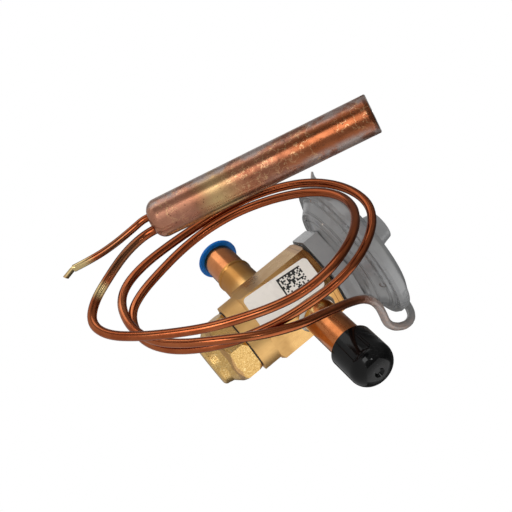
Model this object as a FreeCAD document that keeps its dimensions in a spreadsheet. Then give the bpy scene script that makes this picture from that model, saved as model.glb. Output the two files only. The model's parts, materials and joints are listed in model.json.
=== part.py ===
import FreeCAD, Part
import math
import os
import Sketcher

# Thermostatic expansion valve with sensing bulb, in millimetres.
# The origin is the open end of the inlet stub, on its axis. X runs from inlet to outlet,
# Z runs along the valve stem towards the power element.

doc = FreeCAD.newDocument("expansion_valve")
Vector = FreeCAD.Vector


# Driving dimensions

SIZES = {
    # Places of the two stubs: the valve axis from the inlet end, and levels above the cap seat
    "inlet_reach": 40.0,
    "inlet_level": 14.1,
    "outlet_level": 25.5,
    # Valve body
    "band_radius": 13.8,
    "band_height": 6.8,
    "block_flats": 27.1,
    "block_height": 29.5,
    "block_foot_radius": 14.3,
    "block_crown_radius": 14.6,
    "block_chamfer_slope": 0.8,
    "neck_radius": 11.5,
    "neck_length": 4.7,
    "neck_bore_radius": 8.0,
    "neck_bore_depth": 4.0,
    "cap_thread_radius": 10.2,
    "cap_thread_length": 7.0,
    "thread_lead_in": 0.7,
    "spring_bore_radius": 7.2,
    "spring_bore_top": 17.0,
    "outlet_chamber_radius": 4.6,
    "outlet_chamber_top": 31.0,
    "equalizing_radius": 0.75,
    "equalizing_offset": 3.7,
    # Inlet spigot and stub
    "spigot_root_radius": 7.05,
    "spigot_lip_radius": 6.95,
    "spigot_lip_chamfer": 0.4,
    "stub_length": 12.0,
    "spigot_lip_width": 1.3,
    "spigot_neck_radius": 6.6,
    "inlet_port_radius": 4.2,
    "inlet_tube_radius": 6.33,
    "inlet_tube_wall": 0.83,
    "inlet_tail_radius": 5.2,
    "inlet_tail_length": 9.5,
    "inlet_neck_length": 0.9,
    "braze_clearance": 0.05,
    "socket_mouth_step": 0.15,
    "edge_break": 0.4,
    "braze_bulge_share": 0.8,
    # Outlet stub
    "outlet_tube_radius": 6.35,
    "outlet_tube_wall": 0.85,
    "outlet_tube_end": 47.2,
    "outlet_socket_depth": 5.0,
    "outlet_port_radius": 4.2,
    "braze_width": 1.1,
    "braze_height": 1.2,
    # Shipping plug and cap
    "plug_flange_radius": 8.03,
    "plug_flange_thickness": 1.4,
    "plug_depth": 8.0,
    "plug_wall": 1.1,
    "plug_clearance": 0.03,
    "plug_edge_round": 0.5,
    "vinyl_cap_radius": 8.25,
    "vinyl_cap_start": 34.15,
    "vinyl_cap_floor": 3.2,
    "vinyl_cap_clearance": 0.05,
    "vinyl_cap_round": 5.4,
    "vinyl_dimple_radius": 1.9,
    "vinyl_dimple_depth": 0.9,
    # Label
    "label_width": 12.7,
    "label_height": 26.7,
    "label_level": 20.6,
    "label_thickness": 0.1,
    "label_corner": 1.6,
    "label_skew": 4.6,
    # Seal cap, its gasket, packing and stem
    "cap_flats": 23.4,
    "cap_turn": 10.0,
    "cap_gap": 0.5,
    "cap_crown_radius": 12.5,
    "cap_crown_drop": 1.6,
    "cap_hex_end": 6.8,
    "cap_cone_start_radius": 13.6,
    "cap_cone_end": 11.2,
    "cap_nose_radius": 9.65,
    "cap_nose_taper": 0.45,
    "cap_shoulder_round": 1.5,
    "cap_length": 14.7,
    "cap_floor": 1.7,
    "cap_thread_clearance": 0.05,
    "cap_inner_radius": 7.9,
    "cap_inner_cone_end": 10.4,
    "cap_thread_depth": 7.5,
    "gasket_inner_radius": 10.4,
    "gasket_outer_radius": 12.2,
    "stem_radius": 3.0,
    "stem_clearance": 0.05,
    "stem_square": 4.2,
    "stem_square_length": 3.4,
    "stem_end": 12.4,
    "stem_collar_radius": 5.6,
    "stem_collar_base": 1.0,
    "stem_collar_thickness": 1.5,
    "stem_thread_radius": 2.5,
    "stem_thread_top": 7.6,
    "packing_radius": 4.6,
    "packing_height": 2.6,
    "packing_nut_flats": 13.0,
    "packing_nut_head": 2.4,
    "nut_clearance": 0.05,
    # Guide, spring, carrier and pin
    "guide_base": 3.0,
    "guide_thickness": 3.0,
    "guide_clearance": 0.25,
    "guide_thread_clearance": 0.05,
    "spring_radius": 5.0,
    "spring_wire_radius": 0.55,
    "spring_turns": 3.0,
    "carrier_base": 12.0,
    "carrier_flange": 2.5,
    "carrier_flange_radius": 5.9,
    "carrier_spigot_radius": 3.9,
    "carrier_spigot_length": 3.0,
    "pin_shank_radius": 1.6,
    "pin_shank_length": 2.0,
    "pin_head_radius": 2.5,
    "pin_tip_radius": 1.2,
    "pin_cone_length": 2.1,
    "pin_cone_below": 0.4,
    "pin_gap": 0.07,
    "seat_radius": 5.2,
    "seat_height": 4.0,
    "port_radius": 2.0,
    "port_length": 1.5,
    "port_relief_radius": 3.0,
    # Rod, seal, buffer plate and diaphragm
    "rod_radius": 1.2,
    "rod_clearance": 0.05,
    "rod_seal_radius": 2.6,
    "rod_seal_recess": 2.5,
    "rod_seal_height": 2.0,
    "buffer_radius": 12.0,
    "buffer_thickness": 1.7,
    "buffer_hub_radius": 3.2,
    "buffer_hub_length": 3.7,
    "rod_socket_depth": 2.0,
    "diaphragm_thickness": 0.2,
    "diaphragm_edge_gap": 0.1,
    # Head gasket, collar and casings
    "head_gasket_radius": 13.2,
    "head_gasket_thickness": 0.8,
    "collar_flats": 28.8,
    "collar_height": 6.3,
    "collar_turn": 4.7,
    "collar_thread_clearance": 0.05,
    "collar_floor": 2.1,
    "collar_corner_radius": 16.2,
    "collar_chamfer_slope": 0.7,
    "throat_radius": 9.0,
    "sheet_thickness": 1.2,
    "dish_foot_radius": 14.0,
    "dish_valley_share": 0.715,
    "dish_valley_rise": 1.9,
    "dish_step_share": 0.815,
    "dish_step_rise": 4.9,
    "dish_shelf_share": 0.860,
    "dish_shelf_rise": 5.6,
    "dish_bead_share": 0.895,
    "dish_bead_rise": 5.5,
    "dish_flange_width": 1.0,
    "dish_depth": 7.6,
    "rim_radius": 28.7,
    "rim_overlap": 1.7,
    "rim_skirt": 1.1,
    "rim_foot_step": 0.6,
    "rim_rise": 3.2,
    "rim_round": 1.1,
    "crown_edge_share": 0.836,
    "crown_edge_rise": 5.2,
    "crown_mid_share": 0.683,
    "crown_mid_rise": 6.0,
    "crown_top_rise": 7.4,
    "crown_hole_radius": 3.9,
    "rim_fit": 0.1,
    # Weld tab on the rim
    "tab_azimuth": 222.0,
    "tab_width": 3.0,
    "tab_depth": 1.8,
    "tab_tip": 0.3,
    "tab_tip_shift": 0.6,
    "tab_length": 6.6,
    "tab_lean": 52.0,
    "tab_root_inset": 3.5,
    "tab_root_rise": 3.9,
    # Capillary boss
    "boss_neck_radius": 4.1,
    "boss_neck_length": 1.9,
    "boss_head_radius": 6.5,
    "boss_head_taper": 1.0,
    "boss_head_length": 5.3,
    "boss_round": 0.8,
    "boss_spigot_length": 1.4,
    "boss_bore_radius": 0.8,
    "capillary_azimuth": 133.0,
    "capillary_rise": 2.5,
    "capillary_seat_radius": 3.0,
    # Capillary, bulb and charging tube
    "capillary_radius": 1.5,
    "capillary_clearance": 0.05,
    "bulb_radius": 6.35,
    "bulb_length": 76.2,
    "bulb_wall": 0.8,
    "bulb_shoulder_round": 3.4,
    "bulb_end_wall": 2.0,
    "bulb_bead": 0.5,
    "bulb_disc_recess": 0.9,
    "bulb_disc_thickness": 0.9,
    "bulb_yaw": -5.14,
    "bulb_pitch": 68.35,
    "tube_hole_depth": 1.2,
    "capillary_hole_y": 1.8,
    "capillary_hole_z": -1.8,
    "fill_hole_y": -1.5,
    "fill_hole_z": 1.0,
    "fill_radius": 1.2,
    "fill_tip_half_width": 1.55,
    "fill_tip_half_thickness": 0.5,
    "fill_tip_inset": 0.9,
    "fill_tip_taper": 0.4,
    "fill_tip_length": 3.6,
}

# Lowest point of the bulb's axis, and routes that follow the bent tubes, in the part's frame
BULB_END = Vector(37.4, -64.5, -15.6)

CAPILLARY_BENDS = [
    (31.1, 9.5, 48.9),
    (30.6, 17.7, 47.6),
    (36.8, 25.8, 45.6),
    (46.3, 29.8, 44.2),
    (54.6, 29.4, 42.4),
    (61.5, 26.0, 39.2),
    (65.6, 21.8, 34.6),
    (66.6, 17.2, 30.2),
    (66.7, 12.4, 28.2),
    (66.2, 7.6, 28.7),
    (65.9, 3.0, 28.7),
    (66.0, -1.6, 27.4),
    (67.0, -6.4, 24.4),
    (69.4, -11.6, 20.0),
    (72.4, -17.4, 14.0),
    (74.9, -22.6, 7.2),
    (76.8, -27.0, 0.6),
    (77.2, -31.7, -6.7),
    (75.9, -35.0, -13.0),
    (73.4, -37.9, -19.2),
    (70.0, -40.2, -25.4),
    (64.8, -41.6, -32.3),
    (58.0, -42.8, -38.2),
    (49.8, -43.8, -41.2),
    (41.2, -44.2, -41.0),
    (33.4, -44.1, -38.4),
    (28.3, -43.6, -33.2),
    (25.4, -42.9, -24.6),
    (23.9, -41.4, -14.2),
    (22.9, -39.6, -3.2),
    (23.3, -38.2, 8.2),
    (25.4, -36.8, 18.6),
    (29.2, -35.2, 28.4),
    (34.6, -33.6, 36.4),
    (41.4, -32.2, 41.6),
    (49.4, -31.2, 44.4),
    (57.6, -30.6, 44.4),
    (64.4, -30.3, 41.0),
    (69.7, -30.5, 35.2),
    (73.6, -30.8, 28.4),
    (75.9, -31.0, 20.6),
    (76.2, -30.8, 12.4),
    (75.2, -30.7, 4.4),
    (74.0, -31.2, -4.2),
    (72.3, -32.4, -12.6),
    (69.6, -33.8, -21.0),
    (65.2, -35.6, -29.2),
    (59.6, -37.2, -36.0),
    (52.6, -38.7, -40.4),
    (44.8, -40.2, -41.2),
    (38.2, -41.3, -38.2),
    (33.4, -40.8, -31.6),
    (29.6, -39.6, -22.4),
    (26.9, -38.9, -12.2),
    (26.0, -38.2, -1.2),
    (27.2, -37.2, 9.8),
    (31.0, -36.4, 20.0),
    (36.8, -35.8, 29.0),
    (43.8, -35.9, 35.2),
    (52.0, -36.6, 38.4),
    (60.4, -37.6, 38.2),
    (67.6, -38.9, 35.0),
    (74.0, -40.7, 29.6),
    (79.4, -42.6, 21.8),
    (82.3, -43.6, 13.0),
    (82.5, -44.2, 3.8),
    (80.8, -45.6, -5.4),
    (77.8, -47.3, -14.4),
    (74.4, -49.4, -23.4),
    (69.4, -51.8, -32.4),
    (63.4, -54.2, -41.2),
    (56.8, -56.4, -48.2),
    (50.0, -58.2, -50.0),
    (45.2, -60.2, -45.2),
    (42.4, -62.2, -36.5),
    (40.0, -63.2, -29.0),
    (38.5, -63.0, -22.8),
]

FILL_TUBE_BENDS = [
    (35.6, -65.6, -22.0),
    (35.0, -64.9, -28.2),
    (34.2, -64.6, -33.8),
    (33.1, -64.7, -39.0),
]
FILL_TUBE_TIP = Vector(31.4, -64.5, -43.6)
FILL_TUBE_LIP = Vector(31.2, -63.4, -47.0)
FILL_TIP_WIDE = Vector(0.41, -0.89, -0.18)

sheet = doc.addObject("Spreadsheet::Sheet", "dims")
for row, (alias, size) in enumerate(SIZES.items(), start=1):
    sheet.set("A%d" % row, alias)
    sheet.set("B%d" % row, str(size))
    sheet.setAlias("B%d" % row, alias)
doc.recompute()


def value(expression):
    """The number that an expression over the sheet gives now."""
    return float(sheet.evalExpression(expression.replace("dims.", "")))


# Places and radii that several pieces share, as expressions over the sheet; levels are
# above the cap seat

SPIGOT_MOUTH = "(dims.stub_length - dims.inlet_reach)"
BAND_TOP = "dims.band_height"
BLOCK_TOP = "(dims.band_height + dims.block_height)"
NECK_TOP = "(%s + dims.neck_length)" % BLOCK_TOP
NECK_FLOOR = "(%s - dims.neck_bore_depth)" % NECK_TOP
COLLAR_BASE = "(%s + dims.head_gasket_thickness)" % BLOCK_TOP
COLLAR_TOP = "(%s + dims.collar_height)" % COLLAR_BASE
DIAPHRAGM = "(%s + dims.dish_depth)" % COLLAR_TOP
FLANGE_RADIUS = "(dims.rim_radius - dims.rim_overlap)"
CROWN = "(%s + dims.diaphragm_thickness)" % DIAPHRAGM
CROWN_TOP = "(%s + dims.crown_top_rise)" % CROWN
BOSS_HEAD = "(%s + dims.boss_neck_length)" % CROWN_TOP
CAPILLARY_LEVEL = "(%s + dims.capillary_rise)" % BOSS_HEAD
SEAT_TOP = "(dims.spring_bore_top + dims.seat_height)"
BUFFER_BASE = "(%s - dims.buffer_thickness)" % DIAPHRAGM
ROD_TOP = "(%s - dims.buffer_hub_length + dims.rod_socket_depth)" % BUFFER_BASE
PIN_BASE = "(dims.carrier_base + dims.carrier_flange)"
PIN_HEAD_TOP = "(dims.spring_bore_top - dims.pin_cone_length * dims.pin_cone_below)"
PIN_TOP = "(dims.spring_bore_top + dims.pin_cone_length * (1 - dims.pin_cone_below))"


# Sketches and features

def origin_plane(body, role):
    return [item for item in body.Origin.OriginFeatures if item.Role == role][0]


def new_sketch(body, name, role, offset=None):
    """A sketch on one of the body's own planes, moved along its normal by an expression."""
    sketch = body.newObject("Sketcher::SketchObject", name)
    sketch.AttachmentSupport = [(origin_plane(body, role), "")]
    sketch.MapMode = "FlatFace"
    if offset:
        sketch.setExpression("AttachmentOffset.Base.z", offset)
    return sketch


def arc_between(start, end, radius, side):
    """The short arc from start to end, bulging to the given side of the way travelled."""
    chord = end - start
    half = chord.Length / 2
    left = Vector(-chord.y, chord.x, 0).normalize()
    outward = left if side == "left" else left * -1
    centre = (start + end) / 2 - outward * math.sqrt(max(radius ** 2 - half ** 2, 0))
    return Part.Arc(start, centre + outward * radius, end)


def draw_outline(sketch, corners):
    """Draws a closed outline and ties each corner, and each arc's radius, to the sheet.

    A corner is (x, y), joined to the next by a line, or (x, y, radius, side), by an arc.
    """
    first = sketch.GeometryCount
    count = len(corners)
    places = [Vector(value(corner[0]), value(corner[1]), 0) for corner in corners]
    ends = []
    for index, corner in enumerate(corners):
        start = places[index]
        end = places[(index + 1) % count]
        if len(corner) == 2:
            sketch.addGeometry(Part.LineSegment(start, end))
            ends.append((1, 2))
        else:
            number = sketch.addGeometry(arc_between(start, end, value(corner[2]), corner[3]))
            forward = sketch.getPoint(number, 1).distanceToPoint(start) < 1e-6
            ends.append((1, 2) if forward else (2, 1))
    for index in range(count):
        following = (index + 1) % count
        sketch.addConstraint(Sketcher.Constraint(
            "Coincident", first + index, ends[index][1], first + following, ends[following][0]))
    for index, corner in enumerate(corners):
        item = first + index
        point = ends[index][0]
        tie_point(sketch, item, point, corner[0], corner[1])
        if len(corner) > 2:
            number = sketch.addConstraint(Sketcher.Constraint("Radius", item, value(corner[2])))
            sketch.setExpression("Constraints[%d]" % number, corner[2])


def tie_point(sketch, item, point, across, up):
    """Ties one point of a sketch to two expressions."""
    for kind, expression in (("DistanceX", across), ("DistanceY", up)):
        number = sketch.addConstraint(
            Sketcher.Constraint(kind, -1, 1, item, point, value(expression)))
        sketch.setExpression("Constraints[%d]" % number, expression)


def draw_axis(sketch, level):
    """A construction line along X at a level, which becomes the sketch's Axis0."""
    item = sketch.addGeometry(
        Part.LineSegment(Vector(-1, value(level), 0), Vector(1, value(level), 0)), True)
    tie_point(sketch, item, 1, "-1", level)
    tie_point(sketch, item, 2, "1", level)


def draw_circle(sketch, across, up, radius):
    centre = Vector(value(across), value(up), 0)
    item = sketch.addGeometry(Part.Circle(centre, Vector(0, 0, 1), value(radius)))
    tie_point(sketch, item, 3, across, up)
    number = sketch.addConstraint(Sketcher.Constraint("Radius", item, value(radius)))
    sketch.setExpression("Constraints[%d]" % number, radius)


def hexagon(flats):
    """Corners of a hexagon with two flats facing along X, from its size across flats."""
    half = "%s / 2" % flats
    side = "%s / (2 * sqrt(3))" % flats
    tall = "%s / sqrt(3)" % flats
    return [("0", "0 - " + tall), (half, "0 - " + side), (half, side),
            ("0", tall), ("0 - " + half, side), ("0 - " + half, "0 - " + side)]


def new_body(label, up="0"):
    """A body placed on the valve axis, at a level above the cap seat."""
    body = doc.addObject("PartDesign::Body", label)
    body.Label = label
    body.setExpression("Placement.Base.x", "dims.inlet_reach")
    body.setExpression("Placement.Base.z", "%s - dims.inlet_level" % up)
    return body


def checked(before, body, less):
    """Stops if a cut took nothing away, or an addition added nothing."""
    doc.recompute()
    after = body.Shape.Volume
    if (after >= before) if less else (after <= before):
        raise RuntimeError("a feature of %s changed nothing" % body.Label)


def turn(body, name, corners, kind="Revolution", axis="V_Axis", level=None):
    """Turns an outline round Z, or round X at a level, as added or removed material."""
    before = body.Shape.Volume if body.Tip else 0.0
    sketch = new_sketch(body, name + "_outline", "XZ_Plane")
    if level is not None:
        draw_axis(sketch, level)
        axis = "Axis0"
    draw_outline(sketch, corners)
    feature = body.newObject("PartDesign::" + kind, name)
    feature.Profile = (sketch, [""])
    feature.ReferenceAxis = (sketch, [axis])
    feature.Angle = 360
    checked(before, body, kind == "Groove")
    return feature


def extrude(body, name, corners, start, length, kind="Pad", reverse=False):
    """Pads or pockets an outline that lies at a level, through a length."""
    before = body.Shape.Volume if body.Tip else 0.0
    sketch = new_sketch(body, name + "_outline", "XY_Plane", start)
    if isinstance(corners, tuple):
        draw_circle(sketch, *corners)
    else:
        draw_outline(sketch, corners)
    feature = body.newObject("PartDesign::" + kind, name)
    feature.Profile = (sketch, [""])
    feature.setExpression("Length", length)
    feature.Reversed = reverse
    checked(before, body, kind == "Pocket")
    return feature


def ring_outline(inner, outer, low, high):
    return [(inner, low), (outer, low), (outer, high), (inner, high)]


def ring(label, inner, outer, low, high):
    """A plain turned ring round the valve axis."""
    body = new_body(label)
    turn(body, label + "_turned", ring_outline(inner, outer, low, high))
    return body


# Valve body: one machined brass forging

def make_valve_body():
    body = new_body("valve_body")
    thread_end = "0 - dims.cap_thread_length"
    turn(body, "turned_core", [
        ("0", thread_end),
        ("dims.cap_thread_radius - dims.thread_lead_in", thread_end),
        ("dims.cap_thread_radius", thread_end + " + dims.thread_lead_in"),
        ("dims.cap_thread_radius", "0"),
        ("dims.band_radius", "0"),
        ("dims.band_radius", BAND_TOP),
        ("dims.neck_radius", BAND_TOP),
        ("dims.neck_radius", NECK_TOP + " - dims.thread_lead_in"),
        ("dims.neck_radius - dims.thread_lead_in", NECK_TOP),
        ("0", NECK_TOP),
    ])
    extrude(body, "block", hexagon("dims.block_flats"), BAND_TOP, "dims.block_height")
    beyond = "dims.block_flats"
    drop = "(%s - dims.%s) * dims.block_chamfer_slope"
    foot_drop = drop % (beyond, "block_foot_radius")
    turn(body, "block_foot_chamfer", [
        ("dims.block_foot_radius", BAND_TOP),
        (beyond, BAND_TOP),
        (beyond, "%s + %s" % (BAND_TOP, foot_drop)),
    ], "Groove")
    crown_drop = drop % (beyond, "block_crown_radius")
    turn(body, "block_crown_chamfer", [
        ("dims.block_crown_radius", BLOCK_TOP),
        (beyond, "%s - %s" % (BLOCK_TOP, crown_drop)),
        (beyond, BLOCK_TOP),
    ], "Groove")
    reach = SPIGOT_MOUTH
    lip_end = reach + " + dims.spigot_lip_width"
    turn(body, "inlet_spigot", [
        ("0 - dims.spring_bore_radius", "dims.inlet_level"),
        ("0 - dims.spring_bore_radius", "dims.inlet_level + dims.spigot_root_radius"),
        ("0 - dims.block_flats / 2", "dims.inlet_level + dims.spigot_root_radius"),
        (lip_end + " + dims.spigot_lip_chamfer", "dims.inlet_level + dims.spigot_neck_radius"),
        (lip_end, "dims.inlet_level + dims.spigot_lip_radius"),
        (reach + " + dims.spigot_lip_chamfer", "dims.inlet_level + dims.spigot_lip_radius"),
        (reach, "dims.inlet_level + dims.spigot_lip_radius - dims.spigot_lip_chamfer"),
        (reach, "dims.inlet_level"),
    ], level="dims.inlet_level")
    turn(body, "stem_bores", [
        ("0", thread_end),
        ("dims.spring_bore_radius", thread_end),
        ("dims.spring_bore_radius", "dims.spring_bore_top"),
        ("dims.seat_radius", "dims.spring_bore_top"),
        ("dims.seat_radius", SEAT_TOP),
        ("dims.outlet_chamber_radius", SEAT_TOP),
        ("dims.outlet_chamber_radius", "dims.outlet_chamber_top"),
        ("dims.rod_radius + dims.rod_clearance", "dims.outlet_chamber_top"),
        ("dims.rod_radius + dims.rod_clearance", NECK_FLOOR + " - dims.rod_seal_recess"),
        ("dims.rod_seal_radius", NECK_FLOOR + " - dims.rod_seal_recess"),
        ("dims.rod_seal_radius", NECK_FLOOR),
        ("dims.neck_bore_radius", NECK_FLOOR),
        ("dims.neck_bore_radius", NECK_TOP),
        ("0", NECK_TOP),
    ], "Groove")
    socket_radius = "dims.inlet_level + dims.inlet_tail_radius + dims.braze_clearance"
    socket_end = reach + " + dims.inlet_neck_length + dims.inlet_tail_length"
    turn(body, "inlet_bore", [
        (reach, "dims.inlet_level"),
        (reach, "dims.inlet_level + dims.inlet_tube_radius - dims.socket_mouth_step"),
        (reach + " + dims.inlet_neck_length", socket_radius),
        (socket_end, socket_radius),
        (socket_end, "dims.inlet_level + dims.inlet_port_radius"),
        ("0", "dims.inlet_level + dims.inlet_port_radius"),
        ("0", "dims.inlet_level"),
    ], "Groove", level="dims.inlet_level")
    face = "dims.block_flats / 2"
    outlet_socket = "dims.outlet_level + dims.outlet_tube_radius + dims.braze_clearance"
    turn(body, "outlet_bore", [
        ("0", "dims.outlet_level"),
        ("0", "dims.outlet_level + dims.outlet_port_radius"),
        (face + " - dims.outlet_socket_depth", "dims.outlet_level + dims.outlet_port_radius"),
        (face + " - dims.outlet_socket_depth", outlet_socket),
        (face, outlet_socket),
        (face, "dims.outlet_level"),
    ], "Groove", level="dims.outlet_level")
    extrude(body, "equalizing_hole", ("0", "dims.equalizing_offset", "dims.equalizing_radius"),
            NECK_FLOOR, NECK_FLOOR + " - dims.outlet_chamber_top + 1", "Pocket")


# Inlet stub and outlet stub

def make_inlet_tube():
    """Copper stub with a necked tail that is brazed into the spigot."""
    body = new_body("inlet_tube", up="dims.inlet_level")
    end = "0 - dims.inlet_reach"
    mouth = SPIGOT_MOUTH
    tail = mouth + " + dims.inlet_neck_length"
    tail_end = tail + " + dims.inlet_tail_length"
    inner = "dims.inlet_tube_radius - dims.inlet_tube_wall"
    tail_inner = "dims.inlet_tail_radius - dims.inlet_tube_wall"
    turn(body, "inlet_tube_turned", [
        (end, inner),
        (end, "dims.inlet_tube_radius"),
        (mouth + " - dims.edge_break / 2", "dims.inlet_tube_radius"),
        (tail, "dims.inlet_tail_radius"),
        (tail_end, "dims.inlet_tail_radius"),
        (tail_end, tail_inner),
        (tail, tail_inner),
        (mouth + " - dims.edge_break", inner),
    ], axis="H_Axis")


def make_outlet_tube():
    body = new_body("outlet_tube", up="dims.outlet_level")
    start = "dims.block_flats / 2 - dims.outlet_socket_depth"
    inner = "dims.outlet_tube_radius - dims.outlet_tube_wall"
    turn(body, "outlet_tube_turned", [
        (start, inner),
        ("dims.outlet_tube_end", inner),
        ("dims.outlet_tube_end", "dims.outlet_tube_radius"),
        (start, "dims.outlet_tube_radius"),
    ], axis="H_Axis")


def make_braze_ring():
    """Fillet of braze metal between the block's flat and the outlet stub."""
    body = new_body("outlet_braze_ring", up="dims.outlet_level")
    face = "dims.block_flats / 2"
    turn(body, "outlet_braze_turned", [
        (face, "dims.outlet_tube_radius"),
        (face + " + dims.braze_width", "dims.outlet_tube_radius"),
        (face + " + dims.braze_width", "dims.outlet_tube_radius + dims.braze_clearance * 3",
         "(dims.braze_width + dims.braze_height) * dims.braze_bulge_share", "left"),
        (face, "dims.outlet_tube_radius + dims.braze_height"),
    ], axis="H_Axis")


def make_inlet_plug():
    """Shipping plug pushed into the open stub, hollow from outside."""
    body = new_body("inlet_plug", up="dims.inlet_level")
    end = "0 - dims.inlet_reach"
    outer = end + " - dims.plug_flange_thickness"
    shank = "dims.inlet_tube_radius - dims.inlet_tube_wall - dims.plug_clearance"
    round_off = "dims.plug_edge_round"
    turn(body, "inlet_plug_turned", [
        (outer, shank + " - dims.plug_wall"),
        (outer, "dims.plug_flange_radius - " + round_off, round_off, "left"),
        (outer + " + " + round_off, "dims.plug_flange_radius"),
        (end + " - " + round_off, "dims.plug_flange_radius", round_off, "left"),
        (end, "dims.plug_flange_radius - " + round_off),
        (end, shank),
        (end + " + dims.plug_depth - " + round_off, shank),
        (end + " + dims.plug_depth", shank + " - " + round_off),
        (end + " + dims.plug_depth", "0"),
        (end + " + dims.plug_depth - dims.plug_wall", "0"),
        (end + " + dims.plug_depth - dims.plug_wall", shank + " - dims.plug_wall"),
    ], axis="H_Axis")


def make_outlet_cap():
    """Dipped vinyl cap with a dimple in its end."""
    body = new_body("outlet_cap", up="dims.outlet_level")
    inner = "dims.outlet_tube_radius + dims.vinyl_cap_clearance"
    end = "(dims.outlet_tube_end + dims.vinyl_cap_floor)"
    turn(body, "outlet_cap_turned", [
        ("dims.vinyl_cap_start", inner),
        ("dims.outlet_tube_end", inner),
        ("dims.outlet_tube_end", "0"),
        (end + " - dims.vinyl_dimple_depth", "0"),
        (end + " - dims.vinyl_dimple_depth", "dims.vinyl_dimple_radius / 2"),
        (end, "dims.vinyl_dimple_radius"),
        (end, "dims.vinyl_cap_radius - dims.vinyl_cap_round", "dims.vinyl_cap_round", "right"),
        (end + " - dims.vinyl_cap_round", "dims.vinyl_cap_radius"),
        ("dims.vinyl_cap_start + dims.edge_break", "dims.vinyl_cap_radius"),
        ("dims.vinyl_cap_start", "dims.vinyl_cap_radius - dims.edge_break"),
    ], axis="H_Axis")


def make_label():
    """Thin label with rounded corners on the flat beside the inlet, a little askew."""
    label = doc.addObject("Part::Feature", "body_label")
    label.Label = "body_label"
    width = value("dims.label_width")
    height = value("dims.label_height")
    plate = Part.makeBox(width, height, value("dims.label_thickness"),
                         Vector(-width / 2, -height / 2, 0))
    upright = [edge for edge in plate.Edges
               if abs(edge.Vertexes[0].Point.z - edge.Vertexes[-1].Point.z) > 1e-6]
    label.Shape = plate.makeFillet(value("dims.label_corner"), upright)
    skew = FreeCAD.Rotation(Vector(0, 0, 1), -value("dims.label_skew"))
    stand = FreeCAD.Rotation(Vector(1, 0, 0), 90)
    face = FreeCAD.Rotation(Vector(0, 0, 1), 30)
    normal = face.multVec(Vector(0, -1, 0))
    place = normal * value("dims.block_flats / 2")
    place += Vector(value("dims.inlet_reach"), 0, value("dims.label_level - dims.inlet_level"))
    label.Placement = FreeCAD.Placement(place, face * stand * skew)


# Seal cap and what it covers

def make_seal_cap():
    """Hexagon cap whose lower corners are turned to a cone above a domed nose."""
    body = new_body("seal_cap")
    top = "0 - dims.cap_gap"
    bottom = "0 - dims.cap_length"
    extrude(body, "cap_hexagon", hexagon("dims.cap_flats"), bottom,
            "dims.cap_length - dims.cap_gap")
    beyond = "dims.cap_flats"
    shoulder = "dims.cap_nose_radius - dims.cap_nose_taper"
    turn(body, "cap_crown", [
        ("dims.cap_crown_radius", top),
        (beyond, top),
        (beyond, "%s - (%s - dims.cap_crown_radius) * dims.cap_crown_drop" % (top, beyond)),
    ], "Groove")
    turn(body, "cap_nose", [
        ("0", bottom + " - 1"),
        (beyond, bottom + " - 1"),
        (beyond, "0 - dims.cap_hex_end"),
        ("dims.cap_cone_start_radius", "0 - dims.cap_hex_end"),
        ("dims.cap_nose_radius", "0 - dims.cap_cone_end"),
        (shoulder, bottom + " + dims.cap_shoulder_round", "dims.cap_shoulder_round", "left"),
        (shoulder + " - dims.cap_shoulder_round", bottom),
        ("0", bottom),
    ], "Groove")
    bore = "dims.cap_thread_radius + dims.cap_thread_clearance"
    turn(body, "cap_bore", [
        ("0", top),
        ("0", bottom + " + dims.cap_floor"),
        ("dims.cap_inner_radius - 1", bottom + " + dims.cap_floor"),
        ("dims.cap_inner_radius", bottom + " + dims.cap_floor + 1"),
        ("dims.cap_inner_radius", "0 - dims.cap_inner_cone_end"),
        (bore, "0 - dims.cap_thread_depth"),
        (bore, top),
    ], "Groove")
    body.Placement.Rotation = FreeCAD.Rotation(Vector(0, 0, 1), -value("dims.cap_turn"))


def make_packing_nut():
    """Nut screwed into the stem bore, with a pocket for the packing."""
    body = new_body("packing_nut")
    base = "0 - dims.cap_thread_length"
    top = "0 - dims.stem_collar_base"
    radius = "dims.spring_bore_radius - dims.nut_clearance"
    hole = "dims.stem_radius + dims.stem_clearance"
    pocket = top + " - dims.packing_height"
    turn(body, "packing_nut_turned", [
        (hole, base),
        (radius, base),
        (radius, top),
        ("dims.packing_radius", top),
        ("dims.packing_radius", pocket),
        (hole, pocket),
    ])
    extrude(body, "packing_nut_head", hexagon("dims.packing_nut_flats"),
            base + " - dims.packing_nut_head", "dims.packing_nut_head")
    extrude(body, "packing_nut_hole", ("0", "0", hole), base, "dims.packing_nut_head",
            "Pocket")


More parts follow.
